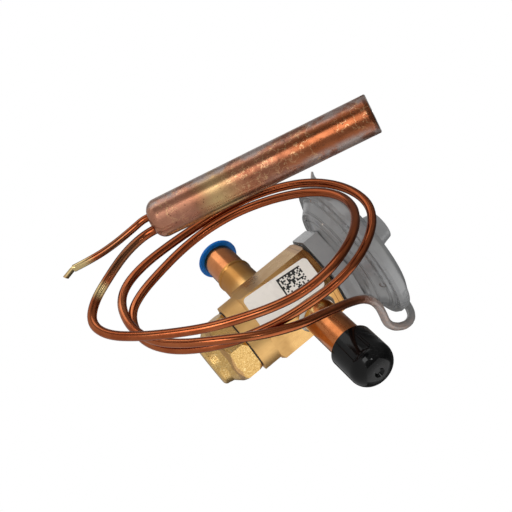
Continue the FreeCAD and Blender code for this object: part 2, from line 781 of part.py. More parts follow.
def make_stem():
    """Setting stem with a square end, a collar and a threaded top."""
    body = new_body("adjusting_stem")
    end = "0 - dims.stem_end"
    collar = "0 - dims.stem_collar_base"
    turn(body, "stem_turned", [
        ("0", end),
        ("dims.stem_radius - dims.edge_break", end),
        ("dims.stem_radius", end + " + dims.edge_break"),
        ("dims.stem_radius", collar),
        ("dims.stem_collar_radius", collar),
        ("dims.stem_collar_radius", collar + " + dims.stem_collar_thickness"),
        ("dims.stem_thread_radius", collar + " + dims.stem_collar_thickness"),
        ("dims.stem_thread_radius", "dims.stem_thread_top - dims.edge_break"),
        ("dims.stem_thread_radius - dims.edge_break", "dims.stem_thread_top"),
        ("0", "dims.stem_thread_top"),
    ])
    far = "dims.stem_radius * 2"
    near = "dims.stem_square / 2"
    before = body.Shape.Volume
    sketch = new_sketch(body, "stem_square_outline", "XY_Plane", end)
    draw_outline(sketch, [("0 - " + far, near), (far, near), (far, far), ("0 - " + far, far)])
    flat = body.newObject("PartDesign::Pocket", "stem_square_flat")
    flat.Profile = (sketch, [""])
    flat.setExpression("Length", "dims.stem_square_length")
    flat.Reversed = True
    checked(before, body, True)
    pattern = body.newObject("PartDesign::PolarPattern", "stem_square_flats")
    pattern.Originals = [flat]
    pattern.Axis = (sketch, ["N_Axis"])
    pattern.Angle = 360
    pattern.Occurrences = 4
    body.Tip = pattern


def make_guide():
    body = new_body("spring_guide")
    inner = "dims.stem_thread_radius + dims.guide_thread_clearance"
    outer = "dims.spring_bore_radius - dims.guide_clearance"
    top = "(dims.guide_base + dims.guide_thickness)"
    step = "dims.spring_radius - dims.spring_wire_radius - 0.3"
    turn(body, "guide_turned", [
        (inner, "dims.guide_base"),
        (outer, "dims.guide_base"),
        (outer, top),
        (step, top),
        (step, top + " + dims.spring_wire_radius"),
        (inner, top + " + dims.spring_wire_radius"),
    ])


def make_spring():
    """Coil spring between the guide and the pin carrier."""
    wire = value("dims.spring_wire_radius")
    low = value("dims.guide_base + dims.guide_thickness") + wire
    high = value("dims.carrier_base") - wire
    radius = value("dims.spring_radius")
    pitch = (high - low) / value("dims.spring_turns")
    helix = Part.makeHelix(pitch, high - low, radius)
    circle = Part.Wire(Part.makeCircle(wire, Vector(radius, 0, 0), Vector(0, 1, 0)))
    coil = Part.Wire(helix).makePipeShell([circle], True, True)
    spring = doc.addObject("Part::Feature", "superheat_spring")
    spring.Label = "superheat_spring"
    spring.Shape = coil
    spring.Placement.Base = Vector(value("dims.inlet_reach"), 0,
                                   low - value("dims.inlet_level"))


def make_carrier():
    """Carrier that the spring pushes, with a spigot inside the coil and a hole for the pin."""
    body = new_body("pin_carrier")
    base = "dims.carrier_base"
    turn(body, "carrier_turned", [
        ("0", base + " - dims.carrier_spigot_length"),
        ("dims.carrier_spigot_radius - dims.edge_break", base + " - dims.carrier_spigot_length"),
        ("dims.carrier_spigot_radius",
         base + " - dims.carrier_spigot_length + dims.edge_break"),
        ("dims.carrier_spigot_radius", base),
        ("dims.carrier_flange_radius", base),
        ("dims.carrier_flange_radius", PIN_BASE),
        ("dims.pin_shank_radius", PIN_BASE),
        ("dims.pin_shank_radius", PIN_BASE + " - dims.pin_shank_length"),
        ("0", PIN_BASE + " - dims.pin_shank_length"),
    ])


def make_pin():
    """Pin with a cone that closes the port from below."""
    body = new_body("valve_pin")
    slope = "(dims.pin_head_radius - dims.pin_tip_radius) / dims.pin_cone_length"
    at_seat = "(dims.port_radius - dims.pin_gap)"
    head = "%s + %s * dims.pin_cone_length * dims.pin_cone_below" % (at_seat, slope)
    tip = "%s - %s * dims.pin_cone_length * (1 - dims.pin_cone_below)" % (at_seat, slope)
    turn(body, "pin_turned", [
        ("0", PIN_BASE + " - dims.pin_shank_length"),
        ("dims.pin_shank_radius", PIN_BASE + " - dims.pin_shank_length"),
        ("dims.pin_shank_radius", PIN_BASE),
        (head, PIN_BASE),
        (head, PIN_HEAD_TOP),
        (tip, PIN_TOP),
        ("0", PIN_TOP),
    ])


def make_seat():
    """Pressed-in seat with the port, opened out above it."""
    body = new_body("orifice_seat")
    turn(body, "seat_turned", [
        ("dims.port_radius", "dims.spring_bore_top"),
        ("dims.seat_radius", "dims.spring_bore_top"),
        ("dims.seat_radius", SEAT_TOP),
        ("dims.port_relief_radius", SEAT_TOP),
        ("dims.port_radius", "dims.spring_bore_top + dims.port_length"),
    ])


def make_rod():
    body = new_body("push_rod")
    extrude(body, "push_rod_round", ("0", "0", "dims.rod_radius"), PIN_TOP,
            ROD_TOP + " - " + PIN_TOP)


def make_buffer_plate():
    """Plate under the diaphragm with a hub that sits on the rod."""
    body = new_body("buffer_plate")
    hub = BUFFER_BASE + " - dims.buffer_hub_length"
    turn(body, "buffer_turned", [
        ("0", ROD_TOP),
        ("dims.rod_radius", ROD_TOP),
        ("dims.rod_radius", hub),
        ("dims.buffer_hub_radius", hub),
        ("dims.buffer_hub_radius", BUFFER_BASE),
        ("dims.buffer_radius", BUFFER_BASE),
        ("dims.buffer_radius", DIAPHRAGM + " - dims.edge_break"),
        ("dims.buffer_radius - dims.edge_break", DIAPHRAGM),
        ("0", DIAPHRAGM),
    ])


# Power element

def make_collar():
    """Hexagon collar that screws the power element to the body's neck."""
    body = new_body("element_collar")
    extrude(body, "collar_hexagon", hexagon("dims.collar_flats"), COLLAR_BASE,
            "dims.collar_height")
    beyond = "dims.collar_flats"
    drop = "(%s - dims.collar_corner_radius) * dims.collar_chamfer_slope" % beyond
    turn(body, "collar_chamfer", [
        ("dims.collar_corner_radius", COLLAR_BASE),
        (beyond, COLLAR_BASE),
        (beyond, "%s + %s" % (COLLAR_BASE, drop)),
    ], "Groove")
    thread = "dims.neck_radius + dims.collar_thread_clearance"
    floor = COLLAR_TOP + " - dims.collar_floor"
    turn(body, "collar_bore", [
        ("0", COLLAR_BASE),
        (thread, COLLAR_BASE),
        (thread, floor),
        ("dims.throat_radius", floor),
        ("dims.throat_radius", COLLAR_TOP),
        ("0", COLLAR_TOP),
    ], "Groove")
    body.Placement.Rotation = FreeCAD.Rotation(Vector(0, 0, 1), -value("dims.collar_turn"))


def make_lower_casing():
    """Pressed dish, with a valley, a step and a bead, whose flange carries the diaphragm."""
    body = new_body("lower_casing")
    wall = "dims.sheet_thickness"
    rising = []
    for name in ("valley", "step", "shelf", "bead"):
        rising.append(("dims.rim_radius * dims.dish_%s_share" % name,
                       COLLAR_TOP + " + dims.dish_%s_rise" % name))
    inside = [("%s - %s / 3" % (across, wall), "%s + %s" % (up, wall))
              for across, up in reversed(rising[:3])]
    flange_start = FLANGE_RADIUS + " - dims.dish_flange_width"
    turn(body, "lower_casing_turned", [
        ("dims.throat_radius", COLLAR_TOP),
        ("dims.dish_foot_radius", COLLAR_TOP),
        *rising,
        (flange_start, DIAPHRAGM + " - " + wall),
        (FLANGE_RADIUS, DIAPHRAGM + " - " + wall),
        (FLANGE_RADIUS, DIAPHRAGM),
        (flange_start + " - " + wall, DIAPHRAGM),
        *inside,
        ("dims.dish_foot_radius - " + wall + " / 3", COLLAR_TOP + " + " + wall),
        ("dims.throat_radius", COLLAR_TOP + " + " + wall),
    ])


def make_diaphragm():
    body = new_body("diaphragm")
    radius = FLANGE_RADIUS + " - dims.diaphragm_edge_gap"
    extrude(body, "diaphragm_disc", ("0", "0", radius), DIAPHRAGM, "dims.diaphragm_thickness")


def make_upper_casing():
    """Pressed crown whose rolled rim grips the lower dish, with a small weld tab."""
    body = new_body("upper_casing")
    wall = "dims.sheet_thickness"
    foot = DIAPHRAGM + " - dims.rim_skirt"
    ledge = FLANGE_RADIUS + " + dims.rim_fit"
    edge = "dims.rim_radius * dims.crown_edge_share"
    middle = "dims.rim_radius * dims.crown_mid_share"
    turn(body, "upper_casing_turned", [
        (ledge, CROWN),
        (ledge, foot),
        ("dims.rim_radius - dims.rim_foot_step", foot),
        ("dims.rim_radius", DIAPHRAGM),
        ("dims.rim_radius", CROWN + " + dims.rim_rise - dims.rim_round", "dims.rim_round",
         "right"),
        ("dims.rim_radius - dims.rim_round", CROWN + " + dims.rim_rise"),
        (edge, CROWN + " + dims.crown_edge_rise"),
        (middle, CROWN + " + dims.crown_mid_rise"),
        ("dims.crown_hole_radius", CROWN_TOP),
        ("dims.crown_hole_radius", CROWN_TOP + " - " + wall),
        (middle + " - " + wall + " / 6", CROWN + " + dims.crown_mid_rise - " + wall),
        (edge + " - " + wall + " / 3", CROWN + " + dims.crown_edge_rise - " + wall),
        (edge + " + " + wall, CROWN),
    ])
    add_weld_tab(body)


def add_weld_tab(body):
    """A pointed tab that leans outwards from the rim."""
    before = body.Shape.Volume
    azimuth = value("dims.tab_azimuth")
    lean = FreeCAD.Rotation(Vector(0, 0, 1), azimuth)
    lean = lean * FreeCAD.Rotation(Vector(0, 1, 0), value("dims.tab_lean"))
    half = value("dims.tab_width") / 2
    depth = value("dims.tab_depth") / 2
    point = value("dims.tab_tip") / 2
    shift = value("dims.tab_tip_shift")
    tab = body.newObject("PartDesign::AdditiveWedge", "weld_tab")
    tab.AttachmentSupport = [(origin_plane(body, "XY_Plane"), "")]
    tab.MapMode = "FlatFace"
    tab.Xmin = -depth
    tab.Xmax = depth
    tab.Zmin = -half
    tab.Zmax = half
    tab.Ymin = 0
    tab.Ymax = value("dims.tab_length")
    tab.X2min = shift - point
    tab.X2max = shift + point
    tab.Z2min = -point
    tab.Z2max = point
    angle = math.radians(azimuth)
    root = value("dims.rim_radius - dims.tab_root_inset")
    base = Vector(root * math.cos(angle), root * math.sin(angle),
                  value(CROWN + " + dims.tab_root_rise"))
    upright = FreeCAD.Rotation(Vector(1, 0, 0), 90)
    tab.AttachmentOffset = FreeCAD.Placement(base, lean * upright)
    checked(before, body, False)


def make_boss():
    """Turned boss brazed in the crown, with a side hole for the capillary."""
    body = new_body("capillary_boss")
    head_end = BOSS_HEAD + " + dims.boss_head_length"
    tip = "dims.boss_head_radius - dims.boss_head_taper"
    turn(body, "boss_turned", [
        ("0", CROWN_TOP + " - dims.boss_spigot_length"),
        ("dims.crown_hole_radius", CROWN_TOP + " - dims.boss_spigot_length"),
        ("dims.crown_hole_radius", CROWN_TOP),
        ("dims.boss_neck_radius + dims.edge_break * 2", CROWN_TOP, "dims.boss_neck_length",
         "left"),
        ("dims.boss_neck_radius + dims.edge_break", BOSS_HEAD),
        ("dims.boss_head_radius", BOSS_HEAD),
        (tip, head_end + " - dims.boss_round", "dims.boss_round", "right"),
        (tip + " - dims.boss_round", head_end),
        ("0", head_end),
    ])
    turn(body, "boss_bore", [
        ("0", CROWN_TOP + " - dims.boss_spigot_length"),
        ("dims.boss_bore_radius", CROWN_TOP + " - dims.boss_spigot_length"),
        ("dims.boss_bore_radius", CAPILLARY_LEVEL),
        ("0", CAPILLARY_LEVEL),
    ], "Groove")
    before = body.Shape.Volume
    side = body.newObject("PartDesign::SubtractiveCylinder", "capillary_hole")
    side.AttachmentSupport = [(origin_plane(body, "XY_Plane"), "")]
    side.MapMode = "FlatFace"
    side.setExpression("Radius", "dims.capillary_radius + dims.capillary_clearance")
    side.setExpression("Height", "dims.boss_head_radius * 2")
    angle = math.radians(value("dims.capillary_azimuth"))
    outward = Vector(math.cos(angle), math.sin(angle), 0)
    start = outward * value("dims.capillary_seat_radius")
    start += Vector(0, 0, value(CAPILLARY_LEVEL))
    side.AttachmentOffset = FreeCAD.Placement(start, FreeCAD.Rotation(Vector(0, 0, 1), outward))
    checked(before, body, True)


# Capillary, bulb and charging tube

def bulb_placement():
    turn_up = FreeCAD.Rotation(Vector(0, 1, 0), -value("dims.bulb_pitch"))
    swing = FreeCAD.Rotation(Vector(0, 0, 1), value("dims.bulb_yaw"))
    return FreeCAD.Placement(BULB_END, swing * turn_up)


def make_bulb():
    """Copper bulb with a spun end at the tubes and a bead at the other."""
    placement = bulb_placement()
    shell = doc.addObject("PartDesign::Body", "bulb_shell")
    shell.Label = "bulb_shell"
    inner = "dims.bulb_radius - dims.bulb_wall"
    length = "dims.bulb_length"
    turn(shell, "bulb_turned", [
        ("0", "0"),
        ("0", "dims.bulb_radius - dims.bulb_shoulder_round", "dims.bulb_shoulder_round", "left"),
        ("dims.bulb_shoulder_round", "dims.bulb_radius"),
        (length + " - dims.bulb_bead", "dims.bulb_radius", "dims.bulb_bead", "left"),
        (length, "dims.bulb_radius - dims.bulb_bead"),
        (length, inner),
        ("dims.bulb_end_wall * 2", inner),
        ("dims.bulb_end_wall", inner + " - dims.bulb_end_wall"),
        ("dims.bulb_end_wall", "0"),
    ], axis="H_Axis")
    for name, across, up, radius in (
            ("capillary_entry", "dims.capillary_hole_y", "dims.capillary_hole_z",
             "dims.capillary_radius + dims.capillary_clearance"),
            ("fill_tube_entry", "dims.fill_hole_y", "dims.fill_hole_z",
             "dims.fill_radius + dims.capillary_clearance")):
        before = shell.Shape.Volume
        sketch = new_sketch(shell, name + "_outline", "YZ_Plane")
        draw_circle(sketch, across, up, radius)
        hole = shell.newObject("PartDesign::Pocket", name)
        hole.Profile = (sketch, [""])
        hole.setExpression("Length", "dims.tube_hole_depth")
        hole.Reversed = True
        checked(before, shell, True)
    shell.Placement = placement
    disc = doc.addObject("PartDesign::Body", "bulb_end_disc")
    disc.Label = "bulb_end_disc"
    outer_face = length + " - dims.bulb_disc_recess"
    turn(disc, "bulb_disc_turned", [
        (outer_face + " - dims.bulb_disc_thickness", "0"),
        (outer_face + " - dims.bulb_disc_thickness", inner),
        (outer_face, inner),
        (outer_face, "0"),
    ], axis="H_Axis")
    disc.Placement = placement


def rounded_path(corners):
    """Straight runs joined by arcs as large as their runs allow, and the arcs' radii."""
    edges = []
    radii = []
    start = corners[0]
    for before, corner, after in zip(corners, corners[1:], corners[2:]):
        back = before - corner
        ahead = after - corner
        shorter = min(back.Length, ahead.Length)
        back.normalize()
        ahead.normalize()
        trim = 0.45 * shorter
        half_turn = (math.pi - back.getAngle(ahead)) / 2
        radius = trim / math.tan(half_turn)
        radii.append(radius)
        middle = (back + ahead).normalize()
        depth = radius / math.cos(half_turn) - radius
        arc = Part.Arc(corner + back * trim, corner + middle * depth, corner + ahead * trim)
        edges.append(Part.LineSegment(start, corner + back * trim).toShape())
        edges.append(arc.toShape())
        start = corner + ahead * trim
    edges.append(Part.LineSegment(start, corners[-1]).toShape())
    return Part.Wire(edges), radii


def sweep_tube(path, radius):
    """A round rod along a path, checked against its section times its length."""
    first = path.Edges[0]
    direction = first.tangentAt(first.FirstParameter)
    circle = Part.makeCircle(radius, first.valueAt(first.FirstParameter), direction)
    tube = path.makePipeShell([Part.Wire(circle)], True, True)
    expected = math.pi * radius ** 2 * path.Length
    if abs(tube.Volume / expected - 1) > 0.02:
        raise RuntimeError("tube volume %.1f against %.1f" % (tube.Volume, expected))
    return tube


def make_capillary():
    angle = math.radians(value("dims.capillary_azimuth"))
    seat = value("dims.capillary_seat_radius")
    start = Vector(value("dims.inlet_reach") + seat * math.cos(angle), seat * math.sin(angle),
                   value(CAPILLARY_LEVEL + " - dims.inlet_level"))
    place = bulb_placement()
    hole = (value("dims.capillary_hole_y"), value("dims.capillary_hole_z"))
    end = place.multVec(Vector(value("dims.tube_hole_depth"), *hole))
    lead = place.multVec(Vector(-2.0, *hole))
    corners = [start] + [Vector(*bend) for bend in CAPILLARY_BENDS] + [lead, end]
    path, radii = rounded_path(corners)
    tube = doc.addObject("Part::Feature", "capillary_tube")
    tube.Label = "capillary_tube"
    tube.Shape = sweep_tube(path, value("dims.capillary_radius"))
    print("capillary length %.0f mm, radii %s" % (path.Length, [round(item, 1) for item in radii]))


def oval(centre, axis, across, wide, thin):
    """An elliptical section across an axis, wide along a given direction."""
    side = (across - axis * across.dot(axis)).normalize()
    turned = FreeCAD.Rotation(side, axis.cross(side), axis, "ZXY")
    section = Part.Wire(Part.Ellipse(Vector(0, 0, 0), wide, thin).toShape())
    section.Placement = FreeCAD.Placement(centre, turned)
    return section


def make_fill_tube():
    """Charging tube, bent beside the capillary and pinched flat at its end."""
    place = bulb_placement()
    hole = (value("dims.fill_hole_y"), value("dims.fill_hole_z"))
    start = place.multVec(Vector(value("dims.tube_hole_depth"), *hole))
    lead = place.multVec(Vector(-2.4, *hole))
    corners = [start, lead] + [Vector(*bend) for bend in FILL_TUBE_BENDS] + [FILL_TUBE_TIP]
    path, radii = rounded_path(corners)
    radius = value("dims.fill_radius")
    rod = sweep_tube(path, radius)
    ahead = (FILL_TUBE_TIP - corners[-2]).normalize()
    lip = (FILL_TUBE_LIP - FILL_TUBE_TIP).normalize()
    across = FILL_TIP_WIDE
    wide = value("dims.fill_tip_half_width")
    thin = value("dims.fill_tip_half_thickness")
    inset = value("dims.fill_tip_inset")
    kink = FILL_TUBE_TIP + ahead * value("dims.fill_tip_taper")
    sections = [
        oval(FILL_TUBE_TIP - ahead * inset, ahead, across, radius * 0.99, radius * 0.97),
        oval(kink, ahead, across, wide, thin),
        oval(kink + lip * value("dims.fill_tip_length"), lip, across, wide, thin),
    ]
    pinch = Part.makeLoft(sections, True, True)
    tube = doc.addObject("Part::Feature", "bulb_fill_tube")
    tube.Label = "bulb_fill_tube"
    tube.Shape = rod.fuse(pinch)
    print("charging tube radii %s" % [round(item, 1) for item in radii])


# Build, check and write

make_valve_body()
make_inlet_tube()
make_inlet_plug()
make_outlet_tube()
make_braze_ring()
make_outlet_cap()
make_label()
make_seal_cap()
ring("cap_gasket", "dims.gasket_inner_radius", "dims.gasket_outer_radius",
     "0 - dims.cap_gap", "0")
make_packing_nut()
ring("stem_packing", "dims.stem_radius + dims.stem_clearance", "dims.packing_radius",
     "0 - dims.stem_collar_base - dims.packing_height", "0 - dims.stem_collar_base")
make_stem()
make_guide()
make_spring()
make_carrier()
make_pin()
make_seat()
make_rod()
ring("rod_seal", "dims.rod_radius + dims.rod_clearance", "dims.rod_seal_radius",
     NECK_FLOOR + " - dims.rod_seal_recess",
     NECK_FLOOR + " - dims.rod_seal_recess + dims.rod_seal_height")
make_buffer_plate()
ring("head_gasket", "dims.neck_radius", "dims.head_gasket_radius", BLOCK_TOP, COLLAR_BASE)
make_collar()
make_lower_casing()
make_diaphragm()
make_upper_casing()
make_boss()
make_capillary()
make_bulb()
make_fill_tube()

doc.recompute()
for item in doc.Objects:
    if "Invalid" in item.State or "Error" in item.State:
        raise RuntimeError("%s did not recompute: %s" % (item.Name, item.State))

nodes = [item for item in doc.Objects
         if item.TypeId in ("PartDesign::Body", "Part::Feature")]
os.makedirs("parts", exist_ok=True)
for node in nodes:
    if node.Shape.isNull() or not node.Shape.isValid():
        raise RuntimeError("%s has no valid shape" % node.Label)
    node.Shape.exportStep(os.path.join("parts", node.Label + ".step"))
print("%d nodes written" % len(nodes))
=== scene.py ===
import bpy
import bmesh
import json
import math
import random
from mathutils import Matrix, Vector


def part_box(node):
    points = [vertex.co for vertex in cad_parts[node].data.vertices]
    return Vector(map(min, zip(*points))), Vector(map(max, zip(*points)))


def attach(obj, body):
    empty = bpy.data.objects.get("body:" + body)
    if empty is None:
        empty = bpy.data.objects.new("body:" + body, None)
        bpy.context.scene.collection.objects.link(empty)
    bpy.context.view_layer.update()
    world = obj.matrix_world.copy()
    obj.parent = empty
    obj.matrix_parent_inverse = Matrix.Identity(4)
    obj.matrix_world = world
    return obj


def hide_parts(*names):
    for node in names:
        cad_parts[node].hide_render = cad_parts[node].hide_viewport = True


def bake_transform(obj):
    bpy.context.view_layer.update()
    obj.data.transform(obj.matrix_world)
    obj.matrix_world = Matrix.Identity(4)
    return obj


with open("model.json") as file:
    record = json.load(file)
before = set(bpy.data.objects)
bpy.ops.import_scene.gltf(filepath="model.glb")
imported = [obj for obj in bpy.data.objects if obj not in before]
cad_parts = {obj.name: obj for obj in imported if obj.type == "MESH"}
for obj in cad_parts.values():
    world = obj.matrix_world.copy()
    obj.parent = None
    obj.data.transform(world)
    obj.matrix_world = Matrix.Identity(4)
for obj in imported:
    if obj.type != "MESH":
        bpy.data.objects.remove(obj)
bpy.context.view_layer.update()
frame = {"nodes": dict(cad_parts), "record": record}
nodes = frame["nodes"]
scene = bpy.context.scene
scene.view_settings.view_transform = "Standard"

# Camera: the photograph's view, with its right, up and back directions in the part's frame

RIGHT = Vector((0.503956, 0.387681, 0.771837))
UP = Vector((-0.479693, -0.617501, 0.623367))
BACK = Vector((0.718278, -0.684394, -0.125225))
EYE = Vector((0.28408, -0.25981, -0.03639))
MIDDLE = Vector((0.040, 0.0, 0.0059))
SENSOR_MM = 36.0
LENS_MM = 70.3125
NEAREST_SEEN = 0.01
FARTHEST_SEEN = 20.0


def add_object(name, data):
    """A new object in the scene."""
    added = bpy.data.objects.new(name, data)
    scene.collection.objects.link(added)
    return added


def make_camera():
    data = bpy.data.cameras.new("camera")
    data.sensor_width = SENSOR_MM
    data.lens = LENS_MM
    data.clip_start = NEAREST_SEEN
    data.clip_end = FARTHEST_SEEN
    camera = add_object("camera", data)
    pose = Matrix((RIGHT, UP, BACK)).transposed().to_4x4()
    pose.translation = EYE
    camera.matrix_world = pose
    scene.camera = camera


make_camera()


# Capillary: the bent tube's route, in millimetres

CAPILLARY = [
    (37.95, 2.19, 48.9),
    (31.1, 9.5, 48.9), (30.6, 17.7, 47.6), (36.8, 25.8, 45.6), (46.3, 29.8, 44.2),
    (54.6, 29.4, 42.4), (61.5, 26.0, 39.2), (65.6, 21.8, 34.6), (66.6, 17.2, 30.2),
    (66.7, 12.4, 28.2), (66.2, 7.6, 28.7), (65.9, 3.0, 28.7), (66.0, -1.6, 27.4),
    (67.0, -6.4, 24.4), (69.4, -11.6, 20.0), (72.4, -17.4, 14.0), (74.9, -22.6, 7.2),
    (76.8, -27.0, 0.6), (77.2, -31.7, -6.7), (75.9, -35.0, -13.0), (73.4, -37.9, -19.2),
    (70.0, -40.2, -25.4), (64.8, -41.6, -32.3), (58.0, -42.8, -38.2), (49.8, -43.8, -41.2),
    (41.2, -44.2, -41.0), (33.4, -44.1, -38.4), (28.3, -43.6, -33.2), (25.4, -42.9, -24.6),
    (23.9, -41.4, -14.2), (22.9, -39.6, -3.2), (23.3, -38.2, 8.2), (25.4, -36.8, 18.6),
    (29.2, -35.2, 28.4), (34.6, -33.6, 36.4), (41.4, -32.2, 41.6), (49.4, -31.2, 44.4),
    (57.6, -30.6, 44.4), (64.4, -30.3, 41.0), (69.7, -30.5, 35.2), (73.6, -30.8, 28.4),
    (75.9, -31.0, 20.6), (76.2, -30.8, 12.4), (75.2, -30.7, 4.4), (74.0, -31.2, -4.2),
    (72.3, -32.4, -12.6), (69.6, -33.8, -21.0), (65.2, -35.6, -29.2), (59.6, -37.2, -36.0),
    (52.6, -38.7, -40.4), (44.8, -40.2, -41.2), (38.2, -41.3, -38.2), (33.4, -40.8, -31.6),
    (29.6, -39.6, -22.4), (26.9, -38.9, -12.2), (26.0, -38.2, -1.2), (27.2, -37.2, 9.8),
    (31.0, -36.4, 20.0), (36.8, -35.8, 29.0), (43.8, -35.9, 35.2), (52.0, -36.6, 38.4),
    (60.4, -37.6, 38.2), (67.6, -38.9, 35.0), (74.0, -40.7, 29.6), (79.4, -42.6, 21.8),
    (82.3, -43.6, 13.0), (82.5, -44.2, 3.8), (80.8, -45.6, -5.4), (77.8, -47.3, -14.4),
    (74.4, -49.4, -23.4), (69.4, -51.8, -32.4), (63.4, -54.2, -41.2), (56.8, -56.4, -48.2),
    (50.0, -58.2, -50.0), (45.2, -60.2, -45.2), (42.4, -62.2, -36.5), (40.0, -63.2, -29.0),
    (38.5, -63.0, -22.8),
    (38.49, -62.79, -18.12), (39.67, -62.90, -15.15),
]
MM_PER_METRE = 1000
CAPILLARY_RADIUS = 0.0015
CAPILLARY_SIDE_STEPS = 5
CAPILLARY_RUN_STEPS = 8


def make_capillary():
    """A round tube on one smooth curve, with the route's points as its controls.

    Its radius is set at its points, because a curve's box reaches that far past them.
    """
    data = bpy.data.curves.new("capillary_line", "CURVE")
    data.dimensions = "3D"
    data.bevel_depth = 1.0
    data.bevel_resolution = CAPILLARY_SIDE_STEPS
    data.use_fill_caps = True
    spline = data.splines.new("NURBS")
    spline.points.add(len(CAPILLARY) - 1)
    for point, place in zip(spline.points, CAPILLARY):
        point.co = (*(length / MM_PER_METRE for length in place), 1)
        point.radius = CAPILLARY_RADIUS
    spline.order_u = 3
    spline.use_endpoint_u = True
    spline.resolution_u = CAPILLARY_RUN_STEPS
    return add_object("capillary_line", data)


capillary = make_capillary()
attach(capillary, "root")
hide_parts("capillary_tube")


# Places that the finishes mark, in metres in the part's frame

AXIS_FOOT = (0.04, 0.0, 0.0)
SPIGOT_REACH = (0.012, 0.020)
COLLAR_SEAM = (0.04, 0.0, 0.0229)
BELOW_COLLAR = (-0.0042, 0.0)
COLLAR_SEAM_HEIGHTS = (-0.0010, -0.0026)
COLLAR_SEAM_HALF = 0.00012
SAWN_HEIGHTS = (-0.004, -0.001)
CAP_SHOULDER = -0.0226
STUB_MOUTH = (0.0, 0.0165)
STUB_SOLDER = (0.050, 0.0575)
STUB_FLAME = (0.050, 0.064)
BULB_FOOT = (0.0374, -0.0645, -0.0156)
BULB_AXIS = (0.3675, -0.0331, 0.9294)
BULB_OVER = (-0.650, -0.724, 0.231)
BULB_PINK = (0.0, 0.016)
BULB_GOLD = (0.024, 0.033)
BULB_DARKENS = (0.030, 0.060)
BULB_LIP = (0.0744, 0.0764)
BULB_DISC = (0.07585, 0.07605)
BULB_LOW_SIDE = (-0.0050, -0.0030)
BULB_HIGH_SIDE = (0.0026, 0.0050)
CAPILLARY_SOOT = (0.0402, -0.0631, -0.0295)
CAPILLARY_TINT = (0.0440, -0.0611, -0.0415)
FILL_END = (0.0325, -0.0645, -0.0430)
BOSS_SIDE = (0.040, 0.012, 0.048)
SPRAY_MIDDLE = (0.045, 0.020, 0.045)
ELEMENT_CURL = (0.0635, -0.0010, 0.0343)
ELEMENT_CURL_RADII = (0.0009, 0.0013)
ELEMENT_GROOVES = (0.0185, 0.0212, 0.0242)
GROOVE_HALF = 0.0002

# Marks on the element: place, inner and outer reach in metres, colour

ELEMENT_MARKS = [
    ((0.0418, -0.0208, 0.0316), 0.0002, 0.0005, (0.70, 0.64, 0.56)),
    ((0.0310, -0.0228, 0.0348), 0.0003, 0.0009, (0.28, 0.15, 0.09)),
]


# Materials

